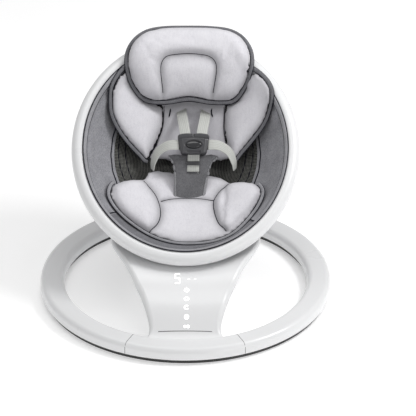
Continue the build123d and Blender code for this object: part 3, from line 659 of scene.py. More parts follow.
def rest_normal(x, v):
    step = 4.0
    slope_x = (rest_height(x + step, v) - rest_height(x - step, v)) / (2 * step)
    slope_v = (rest_height(x, v + step) - rest_height(x, v - step)) / (2 * step)
    return seat_vector(-slope_x, -slope_v, 1)


def plan(points, spacing=6.0, closed=True):
    """A smooth outline through points given in plan, in mm."""
    rough = [Vector((p[0], p[1], 0)) for p in points]
    ends = rough[1:] + rough[:1] if closed else rough[1:]
    length = sum((b - a).length for a, b in zip(rough, ends))
    return [(p.x, p.y) for p in spline(rough, max(8, round(length / spacing)), closed)]


def offset_plan(points, amount, closed=True):
    """The outline moved outwards by amount, in mm, for a loop or an arc drawn either way round."""
    count = len(points)
    area = sum(
        points[i][0] * points[(i + 1) % count][1] - points[(i + 1) % count][0] * points[i][1]
        for i in range(count)
    )
    sign = 1 if area > 0 else -1
    moved = []
    for i, (x, y) in enumerate(points):
        ax, ay = points[(i + 1) % count if closed else min(i + 1, count - 1)]
        bx, by = points[i - 1 if closed else max(i - 1, 0)]
        tx, ty = ax - bx, ay - by
        size = math.hypot(tx, ty) or 1
        moved.append((x + sign * ty / size * amount, y - sign * tx / size * amount))
    return moved


# ---------------------------------------------------------------- the bowl and its rim
AROUND = 144
KNIT_RADIUS = 0.19  # turns an angle round the bowl into a length for the knit's pattern, metres
BAND_START, BAND_END = 119.0, 157.0  # the edge binding, as angles round the hoop's tube
WALL_FOOT = -68.0  # where the wall's knit meets the mesh, mm


def bowl_row(w):
    """Foot end, head end and half-width of the bowl's outside at a height."""
    rows = sorted(BOWL_ROWS)
    heights = [r[0] for r in rows]
    made = []
    for column in (1, 2, 3):
        values = [r[column] for r in rows]
        i = max(0, min(len(rows) - 2, sum(1 for h in heights if h <= w) - 1))
        h0, h1 = heights[i], heights[i + 1]
        t = (w - h0) / (h1 - h0)
        m0 = (values[i + 1] - values[max(i - 1, 0)]) / (heights[i + 1] - heights[max(i - 1, 0)])
        top = min(i + 2, len(rows) - 1)
        m1 = (values[top] - values[i]) / (heights[top] - heights[i])
        d = h1 - h0
        made.append(
            (2 * t**3 - 3 * t**2 + 1) * values[i] + (t**3 - 2 * t**2 + t) * m0 * d
            + (-2 * t**3 + 3 * t**2) * values[i + 1] + (t**3 - t**2) * m1 * d
        )
    return made


def bowl_point(theta, w, inset, shrink=1.0):
    foot, head, half = bowl_row(max(w, -116))
    middle, reach = (foot + head) / 2, (head - foot) / 2 - inset
    x = (half - inset) * shrink * math.cos(theta)
    return seat(x, middle + reach * shrink * math.sin(theta), w)


def hoop_point(theta, alpha, radius):
    """A point round the hoop: alpha is 0 outwards, 90 on top and 180 inwards."""
    nx, nv = math.cos(theta) * HOOP_B, math.sin(theta) * HOOP_A
    size = math.hypot(nx, nv)
    out, up = radius * math.cos(math.radians(alpha)), radius * math.sin(math.radians(alpha))
    return seat(
        HOOP_A * math.cos(theta) + nx / size * out, HOOP_B * math.sin(theta) + nv / size * out, up
    )


def hoop_normal(theta, alpha):
    return (hoop_point(theta, alpha, 10) - hoop_point(theta, alpha, 0)).normalized()


FRONT_START, FRONT_END = math.radians(219), math.radians(315)
FRONT_LEAN, LEAN_DEPTH = 19.0, 34.0  # how far in, and how far down, the front wall slopes, mm


def wall_point(theta, w, proud=0.0):
    """A point on the wall's inside, which slopes in under the seat pad at the front."""
    lean = max(0.0, -math.sin(theta)) ** 2
    reach = FRONT_LEAN * min(1.0, -w / LEAN_DEPTH) * min(1.0, (w + 112) / 50)
    return bowl_point(theta, w, 5 + proud + lean * reach)


def seat_shell():
    """The whole fabric seat as one closed skin: rim, knitted wall, mesh bowl, and its outside."""

    def hoop(alpha, radius):
        return lambda t: hoop_point(t, alpha, radius)

    def wall(w):
        return lambda t: wall_point(t, w)

    def bowl(w, inset, shrink=1.0):
        return lambda t: bowl_point(t, w, inset, shrink)

    rows = [("wall", hoop(a, FABRIC_R + 0.9)) for a in (BAND_START, 128, 138, 148, BAND_END)]
    rows += [("wall", hoop(a, FABRIC_R)) for a in (160, 170, 180, 190)]
    rows += [("wall", wall(w)) for w in (-12, -20, -28, -36, -44, -52, -60, WALL_FOOT)]
    rows += [("mesh", wall(w)) for w in (-74, -80, -86, -92, -98, -104, -110)]
    rows += [("mesh", bowl(w, 5, s)) for s, w in ((0.84, -112), (0.6, -112.6), (0.34, -113), (0.1, -113))]
    rows += [("outside", bowl(-116, 0, s)) for s in (0.1, 0.5, 0.9)]
    rows += [("outside", bowl(w, 0)) for w in (-115, -106, -97, -88, -79, -70, -60, -50, -40, -30, -22)]
    rows += [("outside", hoop(a, TUBE_R + 0.3)) for a in (205, 190, 178, 165, 150, 135, 123)]
    angles = [2 * math.pi * k / AROUND for k in range(AROUND)]
    verts, kinds, uv, previous = [], [], [], None
    along = [0.0] * AROUND
    for kind, place in rows:
        ring = [place(t) for t in angles]
        if previous:
            along = [a + (p - q).length for a, p, q in zip(along, ring, previous)]
        verts += ring
        uv += [(t * KNIT_RADIUS, a) for t, a in zip(angles, along)]
        previous = ring
        for t in angles:
            front = FRONT_START < t + math.pi / AROUND < FRONT_END
            kinds.append({"wall": 1 if front else 0, "mesh": 2, "outside": 3}[kind])
    faces = ring_faces(len(rows), AROUND, closed=True)
    shell = new_piece("seat_fabric", verts, faces, [HEATHER, HEATHER_FRONT, MESH, HEATHER_OUT])
    shell.data.polygons.foreach_set("material_index", kinds)
    layer = shell.data.uv_layers.new(name="knit")
    for polygon in shell.data.polygons:
        ring_start = polygon.vertices[0] % AROUND
        for loop in polygon.loop_indices:
            index = shell.data.loops[loop].vertex_index
            u, v = uv[index]
            if ring_start > AROUND / 2 and index % AROUND == 0:
                u = 2 * math.pi * KNIT_RADIUS
            layer.data[loop].uv = (u, v)
    return subdivided(shell)


def ring_tube(name, place, up, side, rise, material, count=150):
    angles = [2 * math.pi * k / count for k in range(count)]
    path, ups = [place(t) for t in angles], [up(t) for t in angles]
    ride(tube(name, path, ups, side, rise, material, closed=True), "seat")


def bowl_seam(name, points, count, rise, aim):
    """A sewn line along the inside of the bowl, with its upper side towards aim."""
    path = spline(points, count)
    ups = [(aim - p).normalized() for p in path]
    ride(tube(name, path, ups, 1.2, rise, SEAM), "seat")


seat_fabric = ride(seat_shell(), "seat")
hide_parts("seat_sling", "sling_rim")

for label, alpha, side, rise, material in (
    ("rim_seam_outer", BAND_START, 1.0, 1.0, SEAM),
    ("rim_seam_inner", BAND_END, 1.0, 1.0, SEAM),
    ("rim_binding", (BAND_START + BAND_END) / 2, 5.4, 1.5, BINDING_PALE),
):
    ring_tube(
        label, lambda t: hoop_point(t, alpha, FABRIC_R + 0.6), lambda t: hoop_normal(t, alpha),
        side, rise, material,
    )
for label, theta in (("left", FRONT_START), ("right", FRONT_END)):
    points = [hoop_point(theta, a, FABRIC_R + 0.5) for a in (BAND_END, 168, 180)]
    points += [wall_point(theta, w, 0.4) for w in (-12, -20, -28, -36, -44, -56, WALL_FOOT)]
    bowl_seam("front_seam_" + label, points, 24, 1.2, seat(0, 0, 60))


def wall_foot(theta):
    return wall_point(theta, WALL_FOOT + 0.35 * math.cos(theta * 30), 0.4)


ring_tube("wall_seam", wall_foot, lambda t: SEAT_UP, 1.5, 1.5, SEAM, count=360)
MESH_SEAMS = ((152, 206, -78, -84), (160, 212, -88, -96))  # from, to in degrees; heights, mm
for side, start, turn in (("left", 0, 1), ("right", 180, -1)):
    for number, (first, last, high, low) in enumerate(MESH_SEAMS):
        points = []
        for part in np.linspace(0, 1, 9):
            theta = math.radians(start + turn * (first + (last - first) * part))
            points.append(wall_point(theta, high + (low - high) * part, 0.6))
        bowl_seam("mesh_seam_%s_%d" % (side, number), points, 30, 1.0, seat(0, 20, 0))

# ---------------------------------------------------------------- piping


def piping(label, curve, place, normal, half=4.6, thick=2.6, colour=BINDING, closed=True):
    """The bound edge of a pad: a flat grey band with a fine dark line on each side; the outer line is the
    band's dark edge together with painted shadow under it.
    """
    for tag, amount, height, side, rise, material, around in (
        ("binding", 2.5, 0.0, half, thick, colour, 12),
        # The outer dark line: the band's dark edge and painted shadow under its outer side.
        ("edge_and_shadow_out", 2.3 + half, -0.8, 0.95, 0.95, SEAM, 8),
        ("line_in", 2.7 - half, 1.6, 0.95, 0.95, SEAM, 8),
    ):
        edge = offset_plan(curve, amount, closed)
        path = [place(x, y, height) for x, y in edge]
        ups = [normal(x, y) for x, y in edge]
        band = tube("%s_%s" % (label, tag), path, ups, side, rise, material, closed, around)
        ride(band, "seat")


def part_of(loop, first, last):
    """The stretch of a loop from the point nearest first to the point nearest last, in its own order."""

    def nearest(target):
        return min(range(len(loop)), key=lambda i: math.dist(loop[i], target))

    i, j = nearest(first), nearest(last)
    return loop[i : j + 1] if j > i else loop[i:] + loop[: j + 1]


def seam_on(label, piece, curve, place, radius=1.0):
    """A sewn line laid in the dent that it makes in a pad."""
    points, normals = laid(surface_of(piece), curve, place, raise_by=radius - 1.3)
    ride(tube(label, points, normals, radius, radius, SEAM, around=8), "seat")


# ---------------------------------------------------------------- back padding: wings and centre
PILLOW_OUTLINE = plan((
    (7, 293), (-46, 292), (-84, 285), (-110, 268), (-127, 243), (-133, 218), (-131, 194), (-117, 167),
    (-97, 148), (-72, 141), (-40, 141), (7, 147), (52, 141), (84, 140), (110, 144), (130, 164),
    (146, 190), (149, 218), (143, 244), (125, 270), (97, 286), (54, 292),
))
PILLOW_PROFILE = (
    (130, -40), (140, -36), (165, -17), (195, 6), (225, 21), (250, 28), (272, 30), (303, 30), (320, 30),
)
PILLOW_PANEL = (
    (-52, 141), (-53, 160), (-57, 190), (-54, 209), (-38, 221), (7, 225), (48, 221), (67, 209),
    (70, 190), (64, 160), (60, 141),
)


def pillow_middle(v):
    return float(np.interp(v, [p[0] for p in PILLOW_PROFILE], [p[1] for p in PILLOW_PROFILE]))


WING_LEFT = plan((
    (-153, 182), (-167, 156), (-170, 128), (-165, 100), (-149, 73), (-129, 50), (-104, 27), (-88, 13),
    (-80, 30), (-66, 62), (-55, 90), (-51, 120), (-52, 160), (-80, 198), (-119, 205), (-140, 197),
))
WING_RIGHT = plan((
    (149, 196), (172, 178), (188, 156), (194, 134), (191, 110), (174, 78), (148, 50), (124, 26),
    (105, 5), (98, 26), (91, 60), (87, 90), (88, 130), (84, 165), (92, 197), (125, 204),
))
BACK_PANEL = plan((
    (-58, 175), (-58, 140), (-58, 100), (-68, 66), (-84, 32), (-84, 18), (-50, 20), (-10, 16),
    (50, 16), (85, 14), (104, 16), (102, 45), (94, 80), (94, 140), (92, 175), (18, 180),
))


def wing_place(x, v, h):
    base, share = rest_height(x, v) + 7, 1.0
    if v > 120:
        gap = float(distances([(x, v)], PILLOW_OUTLINE)[0])
        if inside([(x, v)], PILLOW_OUTLINE)[0]:
            gap = -gap
        limit = pillow_middle(v) - 21 + 0.9 * max(gap, -12.0)
        base -= soft_max(base - limit, 0.0)  # the pillow presses the wing down
        share = max(0.15, min(1.0, (gap + 5) / 28))
    return seat(x, v, soft_max(base, rim_slope(x, v) + 2.5, 10) + h * share)


WINGS = (  # name, outline, top and foot of the bound edge, end of the free edge
    ("wing_left", WING_LEFT, (-140, 197), (-88, 13), (-52, 160)),
    ("wing_right", WING_RIGHT, (149, 196), (105, 5), (84, 165)),
)
for label, outline, top_end, foot_end, free_end in WINGS:
    wing = stuffed(label, outline, wing_place, 17, 5, PLUSH, full=40)
    inflated(wing, outline, wing_place, cap=5)
    # Painted shade along the wing's edges and round the pillow's edge.
    paint_seam_shade(wing, [(outline, True), (PILLOW_OUTLINE, True)], 11)
    ride(wing, "seat")
    piping(label, part_of(outline, top_end, foot_end), wing_place, rest_normal, closed=False)
    free = part_of(outline, foot_end, free_end)
    path = [wing_place(x, v, 1.4) for x, v in free]
    ups = [rest_normal(x, v) for x, v in free]
    ride(tube(label + "_line_free", path, ups, 0.9, 0.9, SEAM), "seat")


def panel_place(x, v, h):
    return on_rest(x, v, 3 + h)


back_panel = stuffed("back_panel", BACK_PANEL, panel_place, 7, 2, PLUSH_BACK, full=18)
inflated(back_panel, BACK_PANEL, panel_place, cap=2.5)
# Painted shade along the back panel's edges and round the pillow's edge.
paint_seam_shade(back_panel, [(BACK_PANEL, True), (PILLOW_OUTLINE, True)], 14, 0.6)
ride(back_panel, "seat")
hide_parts("insert_back")
panel_tree = surface_of(back_panel)
for label, x, v in (("left", -34, 126), ("right", 61, 124)):
    slit = plan(((x - 1, v + 11), (x - 2.5, v + 2), (x - 5 if label == "left" else x + 1, v - 9)), 2, False)
    points, normals = laid(panel_tree, slit, panel_place, raise_by=0.2)
    ride(tube("slot_" + label, points, normals, 1.7, 0.8, SEAM, taper=True), "seat")

# ---------------------------------------------------------------- head pillow


def pillow_place(x, v, h):
    return seat(x, v, soft_max(pillow_middle(v), rim_slope(x, v) + 9, 12) + h)


def pillow_normal(x, v):
    slope = (pillow_middle(v + 8) - pillow_middle(v - 8)) / 16
    return seat_vector(0, -slope, 1)


panel_loop = plan(PILLOW_PANEL, closed=False)
pillow = stuffed(
    "head_pillow_cover", PILLOW_OUTLINE, pillow_place, 8, 8, PLUSH, step=6, full=34,
    regions=((panel_loop, 7, 32),),
)


def raise_bolster(piece):
    """Fills the pillow's horseshoe, which stands higher than its centre panel."""
    plan_points = [to_seat(v.co) for v in piece.data.vertices]
    outer = distances(plan_points, PILLOW_OUTLINE)
    inner = distances(plan_points, panel_loop, closed=False)
    within = inside(plan_points, panel_loop)
    rise = 19 * crown(inner / 30) * crown(outer / 30)
    for vertex, amount, hidden, p in zip(piece.data.vertices, rise, within, plan_points):
        if not hidden and p[2] > pillow_middle(p[1]) + 0.5:
            vertex.co = vertex.co + SEAT_UP * float(amount) * MM


raise_bolster(pillow)
inflated(pillow, PILLOW_OUTLINE, pillow_place, cap=5)
dented(pillow, [panel_loop])
# Painted shade along the pillow's panel seam and its outer edge.
paint_seam_shade(pillow, [(panel_loop, False), (PILLOW_OUTLINE, True)], 9)
ride(pillow, "seat")
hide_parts("head_pillow")
seam_on("pillow_seam", pillow, panel_loop[2:-2], pillow_place)
piping("pillow", PILLOW_OUTLINE, pillow_place, pillow_normal, half=4.2, thick=3.2)

# ---------------------------------------------------------------- seat padding
SEAT_OUTLINE = plan((
    (-168, -74), (-170, -108), (-141, -151), (-84, -196), (-38, -216), (7, -222), (64, -218),
    (110, -196), (152, -145), (171, -105), (170, -80), (155, -60), (133, -50), (100, -45), (84, -28),
    (58, -18), (18, -14), (-30, -10), (-60, -8), (-86, -14), (-98, -36), (-129, -44), (-154, -58),
))
BOLSTER_LEFT = plan((
    (-161, -91), (-154, -71), (-129, -50), (-92, -45), (-69, -83), (-57, -126), (-62, -165),
    (-84, -191), (-120, -162), (-150, -129),
))
BOLSTER_RIGHT = plan((
    (64, -111), (72, -83), (97, -54), (133, -56), (160, -76), (165, -102), (146, -136), (120, -165),
    (94, -192), (76, -178),
))
FRONT_PANEL = plan((
    (-50, -92), (5, -84), (60, -94), (74, -132), (90, -185), (62, -209), (7, -213), (-46, -206),
    (-74, -188), (-60, -152),
))


def seat_place(x, v, h):
    return on_rest(x, v, 8 + h)


seat_pad = stuffed(
    "seat_pad", SEAT_OUTLINE, seat_place, 5, 7, PLUSH, step=6, full=16,
    regions=((BOLSTER_LEFT, 21, 34), (BOLSTER_RIGHT, 21, 34), (FRONT_PANEL, 9, 30)),
)
inflated(seat_pad, SEAT_OUTLINE, seat_place, cap=4.5)
SEAT_SEAMS = (
    plan(((-96, -44), (-69, -80), (-57, -126), (-62, -165), (-82, -194)), closed=False),
    plan(((98, -50), (72, -80), (63, -111), (73, -165), (92, -194)), closed=False),
    plan(((-56, -96), (-24, -88), (5, -86), (34, -88), (64, -97)), closed=False),
)
dented(seat_pad, SEAT_SEAMS)
# Painted shade along the seat pad's sewn lines and its edge.
paint_seam_shade(seat_pad, [(curve, False) for curve in SEAT_SEAMS] + [(SEAT_OUTLINE, True)], 10, 0.6)
ride(seat_pad, "seat")
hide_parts("insert_seat")
for number, curve in enumerate(SEAT_SEAMS):
    seam_on("seat_seam_%d" % number, seat_pad, curve, seat_place, 1.1)
SEAT_BOUND = part_of(SEAT_OUTLINE, (-162, -62), (163, -66))
piping("seat_edge", SEAT_BOUND, seat_place, rest_normal, 4.4, 2.8, BINDING_PALE, closed=False)

# ---------------------------------------------------------------- crotch pad
PAD_FOOT_V, PAD_FOOT_W = -78.0, -82.0
PAD_TOP_V, PAD_TOP_W = 9.0, -52.0
PAD_LENGTH = math.hypot(PAD_TOP_V - PAD_FOOT_V, PAD_TOP_W - PAD_FOOT_W)
PAD_COS = (PAD_TOP_V - PAD_FOOT_V) / PAD_LENGTH
PAD_SIN = (PAD_TOP_W - PAD_FOOT_W) / PAD_LENGTH


def pad_place(x, y, h):
    return seat(x, PAD_FOOT_V + PAD_COS * y - PAD_SIN * h, PAD_FOOT_W + PAD_SIN * y + PAD_COS * h)


PAD_NORMAL = seat_vector(0, -PAD_SIN, PAD_COS)
PAD_OUTLINE = plan((
    (-28, -17), (8, -19), (43, -17), (48, 18), (54, 50), (60, 74), (78, 90), (62, 98), (40, 97), (18, 99),
    (-8, 98), (-30, 98), (-43, 94), (-33, 80), (-28, 58), (-27, 20),
), 5)
crotch_pad = stuffed("crotch_cover", PAD_OUTLINE, pad_place, 4.5, 2.5, PAD_CLOTH, step=5, full=14)
inflated(crotch_pad, PAD_OUTLINE, pad_place, cap=1.5, voxel=3)
ride(crotch_pad, "seat")
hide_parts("crotch_pad")
PAD_BANDS = (
    ("left", ((-25, -13), (-24, 26), (-25, 56), (-30, 78), (-39, 91))),
    ("right", ((40, -13), (45, 24), (51, 50), (57, 72), (72, 88))),
)
pad_tree = surface_of(crotch_pad)
for label, curve in PAD_BANDS:
    points, normals = laid(pad_tree, plan(curve, 4, False), pad_place, raise_by=0.4)
    ride(tube("crotch_band_" + label, points, normals, 3.4, 1.3, PAD_EDGE), "seat")

# ---------------------------------------------------------------- harness straps
BUCKLE_TILT = math.radians(8)  # the buckle leans this much more than the seat
BUCKLE_X, BUCKLE_V, BUCKLE_W = 18.0, 30.0, -44.0
BUCKLE_MIDDLE = 9.5  # from the buckle's back to the middle of its thickness


def buckle_place(x, y, h):
    h += BUCKLE_MIDDLE
    v = y * math.cos(BUCKLE_TILT) - h * math.sin(BUCKLE_TILT)
    w = y * math.sin(BUCKLE_TILT) + h * math.cos(BUCKLE_TILT)
    return seat(BUCKLE_X + x, BUCKLE_V + v, BUCKLE_W + w)


BUCKLE_UP = (buckle_place(0, 0, 10) - buckle_place(0, 0, 0)).normalized()
STRAP_WIDTH, STRAP_THICK = 24, 1.7

for side, sign in (("left", -1), ("right", 1)):
    centre = [
        buckle_place(sign * 19, 19, 1),
        seat(BUCKLE_X + sign * 19.5, 62, -36),
        seat(BUCKLE_X + sign * 22.5, 84, -44),
        seat(BUCKLE_X + sign * 26, 110, -57),
        seat(BUCKLE_X + sign * 28.5, 132, -68),
        seat(BUCKLE_X + sign * 29.5, 142, -74),
    ]
    normals = [BUCKLE_UP] + [seat_vector(sign * 0.1, -0.4, 1)] * 4 + [seat_vector(sign * 0.15, -0.5, 1)]
    strap = ribbon("shoulder_webbing_" + side, centre, normals, STRAP_WIDTH, STRAP_THICK)
    ride(strap, "seat")
    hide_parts("shoulder_strap_" + side)
    centre = [
        buckle_place(sign * 33, 0, 0.6),
        buckle_place(sign * 50, 0, 0.4),
        buckle_place(sign * 65, -3, -4),
        seat(BUCKLE_X + sign * 82, 17, -50),
        seat(BUCKLE_X + sign * 92, -2, -61),
        seat(BUCKLE_X + sign * 94, -16, -72),
    ]
    normals = [BUCKLE_UP] * 3 + [
        seat_vector(sign * 0.35, 0, 1), seat_vector(sign * 0.8, 0, 0.8), seat_vector(sign, 0.1, 0.45),
    ]
    strap = ribbon("waist_webbing_" + side, centre, normals, STRAP_WIDTH, STRAP_THICK)
    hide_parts("waist_strap_" + side)
    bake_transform(strap)

centre = [
    buckle_place(0, -14, -3), buckle_place(0, -21, -5), seat(18, 2, -46), seat(17.5, -10, -50.8),
    seat(17, -22, -56.5), seat(16.5, -30, -61),
]
normals = [BUCKLE_UP, BUCKLE_UP, seat_vector(0, -0.35, 1), PAD_NORMAL, PAD_NORMAL, PAD_NORMAL]
strap = ribbon("crotch_webbing_cover", centre, normals, 27, 1.8)
ride(strap, "seat")
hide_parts("crotch_webbing")

# ---------------------------------------------------------------- buckle


def moulding(name, outline, place, height, depth, step, material, bevel=1.2):
    """A closed moulded part: an outline with a sculpted top face, straight sides and a flat back."""
    verts2, faces = plan_mesh(outline, step)
    edge = distances(verts2, outline)
    rim = len(outline)
    tops = [height(v[0], v[1]) for v in verts2]
    round_off = bevel * (1 - crown(edge / bevel))
    top = [place(v[0], v[1], h - r) for v, h, r in zip(verts2, tops, round_off)]
    back = [place(v[0], v[1], -depth) for v in verts2]
    size = len(top)
    side = [(i, (i + 1) % rim, size + (i + 1) % rim, size + i) for i in range(rim)]
    all_faces = [tuple(f) for f in faces] + [tuple(size + i for i in reversed(f)) for f in faces] + side
    return new_piece(name, top + back, all_faces, [material])


def ellipse(half_x, half_y, count, middle_y=0.0):
    turns = [2 * math.pi * k / count for k in range(count)]
    return [(half_x * math.cos(t), middle_y + half_y * math.sin(t)) for t in turns]


BUTTON_HALF_X, BUTTON_HALF_Y = 17.0, 8.5
BUTTON_Y = -1.5


def soft_step(value, edge, width):
    t = max(0.0, min(1.0, (value - edge) / width + 0.5))
    return t * t * (3 - 2 * t)


def buckle_height(x, y):
    """Height of the buckle's face: an arched flap, bevelled sides and a well round the button."""
    h = 8.5 - 0.0016 * x * x
    flap = 15.5 - 0.0022 * x * x
    h += 1.8 * soft_step(y, flap, 1.4)
    h -= 1.6 * math.exp(-(((y - flap) / 1.1) ** 2))
    h -= 2.2 * math.exp(-((x / 1.5) ** 2)) * soft_step(y, flap + 1, 1.5)
    facet = abs(x) + 0.10 * (15 - y)
    h -= 0.085 * max(0.0, facet - 27) ** 1.3 * (1 - soft_step(y, flap, 1.4))
    h += 0.7 * math.exp(-(((facet - 26.5) / 1.0) ** 2)) * (1 - soft_step(y, flap - 1, 2))
    well = math.hypot(x / (BUTTON_HALF_X + 2.2), (y - BUTTON_Y) / (BUTTON_HALF_Y + 2.2))
    h -= 2.8 * (1 - soft_step(well, 1.0, 0.22))
    h += 0.5 * math.exp(-(((well - 1.13) / 0.07) ** 2))
    slot = max(abs(x) / 15.0, abs(y + 23) / 7.0)
    h -= 3.5 * (1 - soft_step(slot, 1.0, 0.25))
    return h


BUCKLE_OUTLINE = plan((
    (-30, 23.5), (-15, 25.2), (0, 24.2), (15, 25.2), (30, 23.5), (35.5, 20), (35.5, 14), (33.5, 0),
    (31, -12), (28.5, -19), (24, -22), (10, -22.5), (-10, -22.5), (-24, -22), (-28.5, -19),
    (-31, -12), (-33.5, 0), (-35.5, 14), (-35.5, 20),
), 1.5)
buckle_shell = moulding(
    "buckle_shell", BUCKLE_OUTLINE, buckle_place, buckle_height, 8.5, 1.25, DARK_PLASTIC
)
ride(buckle_shell, "seat")
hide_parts("buckle_body")

BUTTON_OUTLINE = ellipse(BUTTON_HALF_X, BUTTON_HALF_Y, 72, BUTTON_Y)


def button_height(x, y):
    r = math.hypot(x / BUTTON_HALF_X, (y - BUTTON_Y) / BUTTON_HALF_Y)
    return 9.6 - 2.0 * r**2.6 - 0.35 * x / BUTTON_HALF_X


release = moulding(
    "release_button", BUTTON_OUTLINE, buckle_place, button_height, -2.0, 1.0, BUTTON_PLASTIC, bevel=1.0
)
ride(release, "button")
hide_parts("buckle_button")

TONGUE_OUTLINE = ((26, -9), (46, -10.5), (49, -9), (49, 9), (46, 10.5), (26, 9))
for side, sign in (("left", -1), ("right", 1)):
    outline = [(sign * x, y + 1) for x, y in plan(TONGUE_OUTLINE, 2)]
    tongue = moulding(
        "tongue_plate_" + side, outline, buckle_place, lambda x, y: -0.6, 4.8, 2.0, DARK_PLASTIC, 0.8
    )
    ride(tongue, "tongue_" + side)
    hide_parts("tongue_" + side)


def bar_piece(name, x1, y0, y1, h0, h1, radius=1.2):
    """A small bar across the strap's slider, from -x1 to x1, with rounded long edges."""
    section = []
    for cy, ch, start in (
        (y1 - radius, h1 - radius, 0), (y0 + radius, h1 - radius, 90),
        (y0 + radius, h0 + radius, 180), (y1 - radius, h0 + radius, 270),
    ):
        for k in range(4):
            a = math.radians(start + 30 * k)
            section.append((cy + radius * math.cos(a), ch + radius * math.sin(a)))
    my, mh = (y0 + y1) / 2, (h0 + h1) / 2
    verts = []
    for x, s in ((-x1, 0.75), (0.6 - x1, 1.0), (x1 - 0.6, 1.0), (x1, 0.75)):
        verts += [slider_place(x, my + (y - my) * s, mh + (h - mh) * s) for y, h in section]
    bar_made = new_piece(name, verts, ring_faces(4, len(section)), [DARK_PLASTIC])
    return ride(bar_made, "seat")


def slider_place(x, y, h):
    v = -10 + y * 0.9 - h * 0.43
    w = -49.6 + y * 0.43 + h * 0.9
    return seat(17.5 + x, v, w)


slider = bar_piece("slider_bar", 15.5, -5, 4.5, 0.6, 3.0)
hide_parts("crotch_slider")
for k in range(4):
    y = -3.6 + k * 2.2
    bar_piece("slider_rib_%d" % k, 13.5, y, y + 1.1, 2.6, 3.6, 0.4)
bar_piece("slider_keeper", 15.2, -22, -19.6, -0.6, 1.6, 0.8)

# ---------------------------------------------------------------- touch panel symbols
cover_tree = surface_of(frame["nodes"]["stem_top_cover"])
FILM_TOP, FILM_BACK = 0.25, -0.3  # a lit mark's faces above and below the cover's surface, mm
PANEL_SLOPE = 0.80  # how much shorter a mark's length is in plan than along the sloping face


def on_cover(x, y):
    hit, normal, _, _ = cover_tree.ray_cast(Vector((x * MM, y * MM, 0.3)), Vector((0, 0, -1)))
    if normal.z < 0:
        normal = -normal
    return hit, normal


def symbol(name, loops):
    """Flat lit marks that lie on the cover: each is an outline in mm about its own centre."""
    verts, faces = [], []
    for cx, cy, outline in loops:
        verts2, tris = plan_mesh(outline, 1.2)
        rim = len(outline)
        start = len(verts)
        for height in (FILM_TOP, FILM_BACK):
            for v in verts2:
                hit, normal = on_cover(cx + v[0], cy + v[1] * PANEL_SLOPE)
                verts.append(hit + normal * height * MM)
        size = len(verts2)
        faces += [tuple(start + i for i in f) for f in tris]
        faces += [tuple(start + size + i for i in reversed(f)) for f in tris]
        for i in range(rim):
            j = (i + 1) % rim
            faces.append((start + i, start + j, start + size + j, start + size + i))
    return ride(new_piece(name, verts, faces, [LIT], smooth=False), "base")


def arc_mark(radius, width, start, end, count=28):
    angles = [math.radians(start + (end - start) * k / (count - 1)) for k in range(count)]
    outer = [(radius * math.cos(a), radius * math.sin(a)) for a in angles]
    inner = [((radius - width) * math.cos(a), (radius - width) * math.sin(a)) for a in reversed(angles)]
    return outer + inner


def disc(radius):
    return ellipse(radius, radius, 20)


def bar(x0, y0, x1, y1):
    return [(x0, y0), (x1, y0), (x1, y1), (x0, y1)]


symbol("mark_power", [(3, -177, arc_mark(5.4, 1.5, 112, 428)), (3, -177, bar(-0.8, 1.5, 0.8, 7.0))])
symbol("mark_sway", [(3, -198, arc_mark(5.6, 1.7, 20, 205)), (3, -198, arc_mark(5.6, 1.7, 220, 375))])
symbol("mark_timer", [(3, -217, arc_mark(5.6, 2.0, 40, 320))])
symbol("mark_sound", [(3, -234.5, disc(5.2))])
symbol("mark_volume", [(-0.6, -250.5, disc(2.6)), (6.4, -250.5, disc(3.2))])
DIGIT_X, DIGIT_Y, DIGIT_W, DIGIT_H, STROKE = -17.5, -149.0, 11.5, 33.0, 1.7
half_w, half_h = DIGIT_W / 2, DIGIT_H / 2
symbol("digit", [(DIGIT_X, DIGIT_Y, bar(*stroke)) for stroke in (
    (-half_w, half_h - STROKE, half_w, half_h),
    (-half_w, 1.5, -half_w + STROKE, half_h - STROKE - 0.5),
    (-half_w, -STROKE / 2, half_w, STROKE / 2),
    (half_w - STROKE, -half_h + STROKE + 0.5, half_w, -1.5),
    (-half_w, -half_h, half_w, -half_h + STROKE),
)])
symbol("dashes", [(x, -151.5, bar(-2.0, -0.9, 2.0, 0.9)) for x in (8, 22)])

# ---------------------------------------------------------------- moulding joints of the base
hub_tree = surface_of(frame["nodes"]["base_front_hub"])
HUB_HALF_ANGLE = 24.0  # from the front to each of the hub's joints, degrees


def hits(tree, starts, direction):
    """Where rays from the starts, in mm, meet a surface, each with the normal that faces them."""
    made = []
    for start in starts:
        hit, normal, _, _ = tree.ray_cast(Vector(start) * MM, direction)
        if hit is not None:
            made.append((hit, normal if normal.dot(direction) < 0 else -normal))
    return made


def joint_line(name, found, side, rise):
    path, ups = [p for p, _ in found], [n for _, n in found]
    ride(tube(name, path, ups, side, rise, JOINT_LINE), "base")


DOWN = Vector((0, 0, -1))
for label, sign in (("left", -1), ("right", 1)):
    angle = math.radians(HUB_HALF_ANGLE - 0.12)
    out = Vector((sign * math.sin(angle), -math.cos(angle), 0))
    found = hits(hub_tree, [out * r + Vector((0, 0, 60)) for r in np.linspace(278, 327, 22)], DOWN)
    found += hits(hub_tree, [out * 360 + Vector((0, 0, z)) for z in np.linspace(28, 11, 8)], -out)
    joint_line("hub_joint_" + label, found, 0.55, 0.35)
found = hits(cover_tree, [(x, -258.5 - 0.0004 * x * x, 120) for x in np.linspace(-63, 63, 40)], DOWN)
joint_line("cover_joint", found, 0.9, 0.5)

# ---------------------------------------------------------------- floor, light and camera


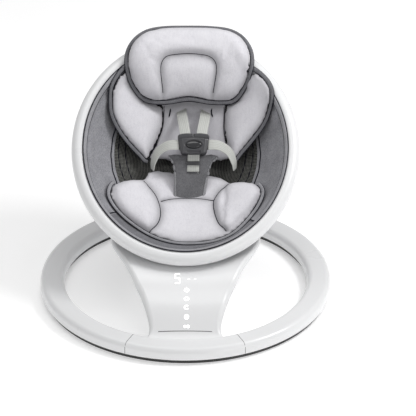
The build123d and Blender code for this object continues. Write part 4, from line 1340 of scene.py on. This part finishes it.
def floor_material():
    p = Paint("pale_floor", Roughness=0.6, Specular_IOR_Level=0.2, Emission_Strength=0.3)
    p.shader.inputs["Emission Color"].default_value = (1, 1, 1, 1)
    cloud = p.noise(3, 2)
    return p.set(
        Base_Color=p.ramp(cloud, (0.3, grey(0.875)), (0.7, grey(0.89))),
        Normal=p.bump(p.noise(60, 2), 0.01, 0.001),
    )


FLOOR_HALF = 14
floor_data = bpy.data.meshes.new("floor")
floor_data.from_pydata(
    [(-FLOOR_HALF, -FLOOR_HALF, 0), (FLOOR_HALF, -FLOOR_HALF, 0), (FLOOR_HALF, FLOOR_HALF, 0),
     (-FLOOR_HALF, FLOOR_HALF, 0)], [], [(0, 1, 2, 3)],
)
floor_data.materials.append(floor_material())
floor = add_object("floor", floor_data)


def aim(made, place, direction):
    made.location = place
    made.rotation_mode = "QUATERNION"
    made.rotation_quaternion = direction.to_track_quat("-Z", "Y")


def soft_light(name, position, target, size, power):
    data = bpy.data.lights.new(name, "AREA")
    data.shape = "DISK"
    data.size = size
    data.energy = power
    aim(add_object(name, data), position, Vector(target) - Vector(position))


world = bpy.data.worlds.new("studio")
world.use_nodes = True
sky = world.node_tree.nodes["Background"].inputs
sky[0].default_value = (1, 1, 1, 1)
sky[1].default_value = 0.42
bpy.context.scene.world = world
soft_light("key", (1.5, 0.1, 2.1), (0, 0.05, 0.2), 0.8, 27)
soft_light("top", (-0.2, 0.7, 2.8), (0, 0.1, 0), 2.2, 20)
soft_light("front", (1.7, -2.6, 0.8), (0, -0.1, 0.1), 1.5, 11)
soft_light("fill", (-1.8, -2.2, 1.5), (0, 0, 0.2), 1.8, 6)
bpy.context.scene.view_settings.view_transform = "Standard"

camera_data = bpy.data.cameras.new("camera")
camera_data.lens = 362
camera_data.sensor_width = 36
camera_data.clip_start, camera_data.clip_end = 0.1, 100
camera = add_object("camera", camera_data)
ELEVATION = math.radians(29.9)
DISTANCE = 9.54
AIM = Vector((0.0508, 0.0911, 0.1587))
toward = Vector((0, -math.cos(ELEVATION), math.sin(ELEVATION)))
aim(camera, AIM + toward * DISTANCE, -toward)
bpy.context.scene.camera = camera
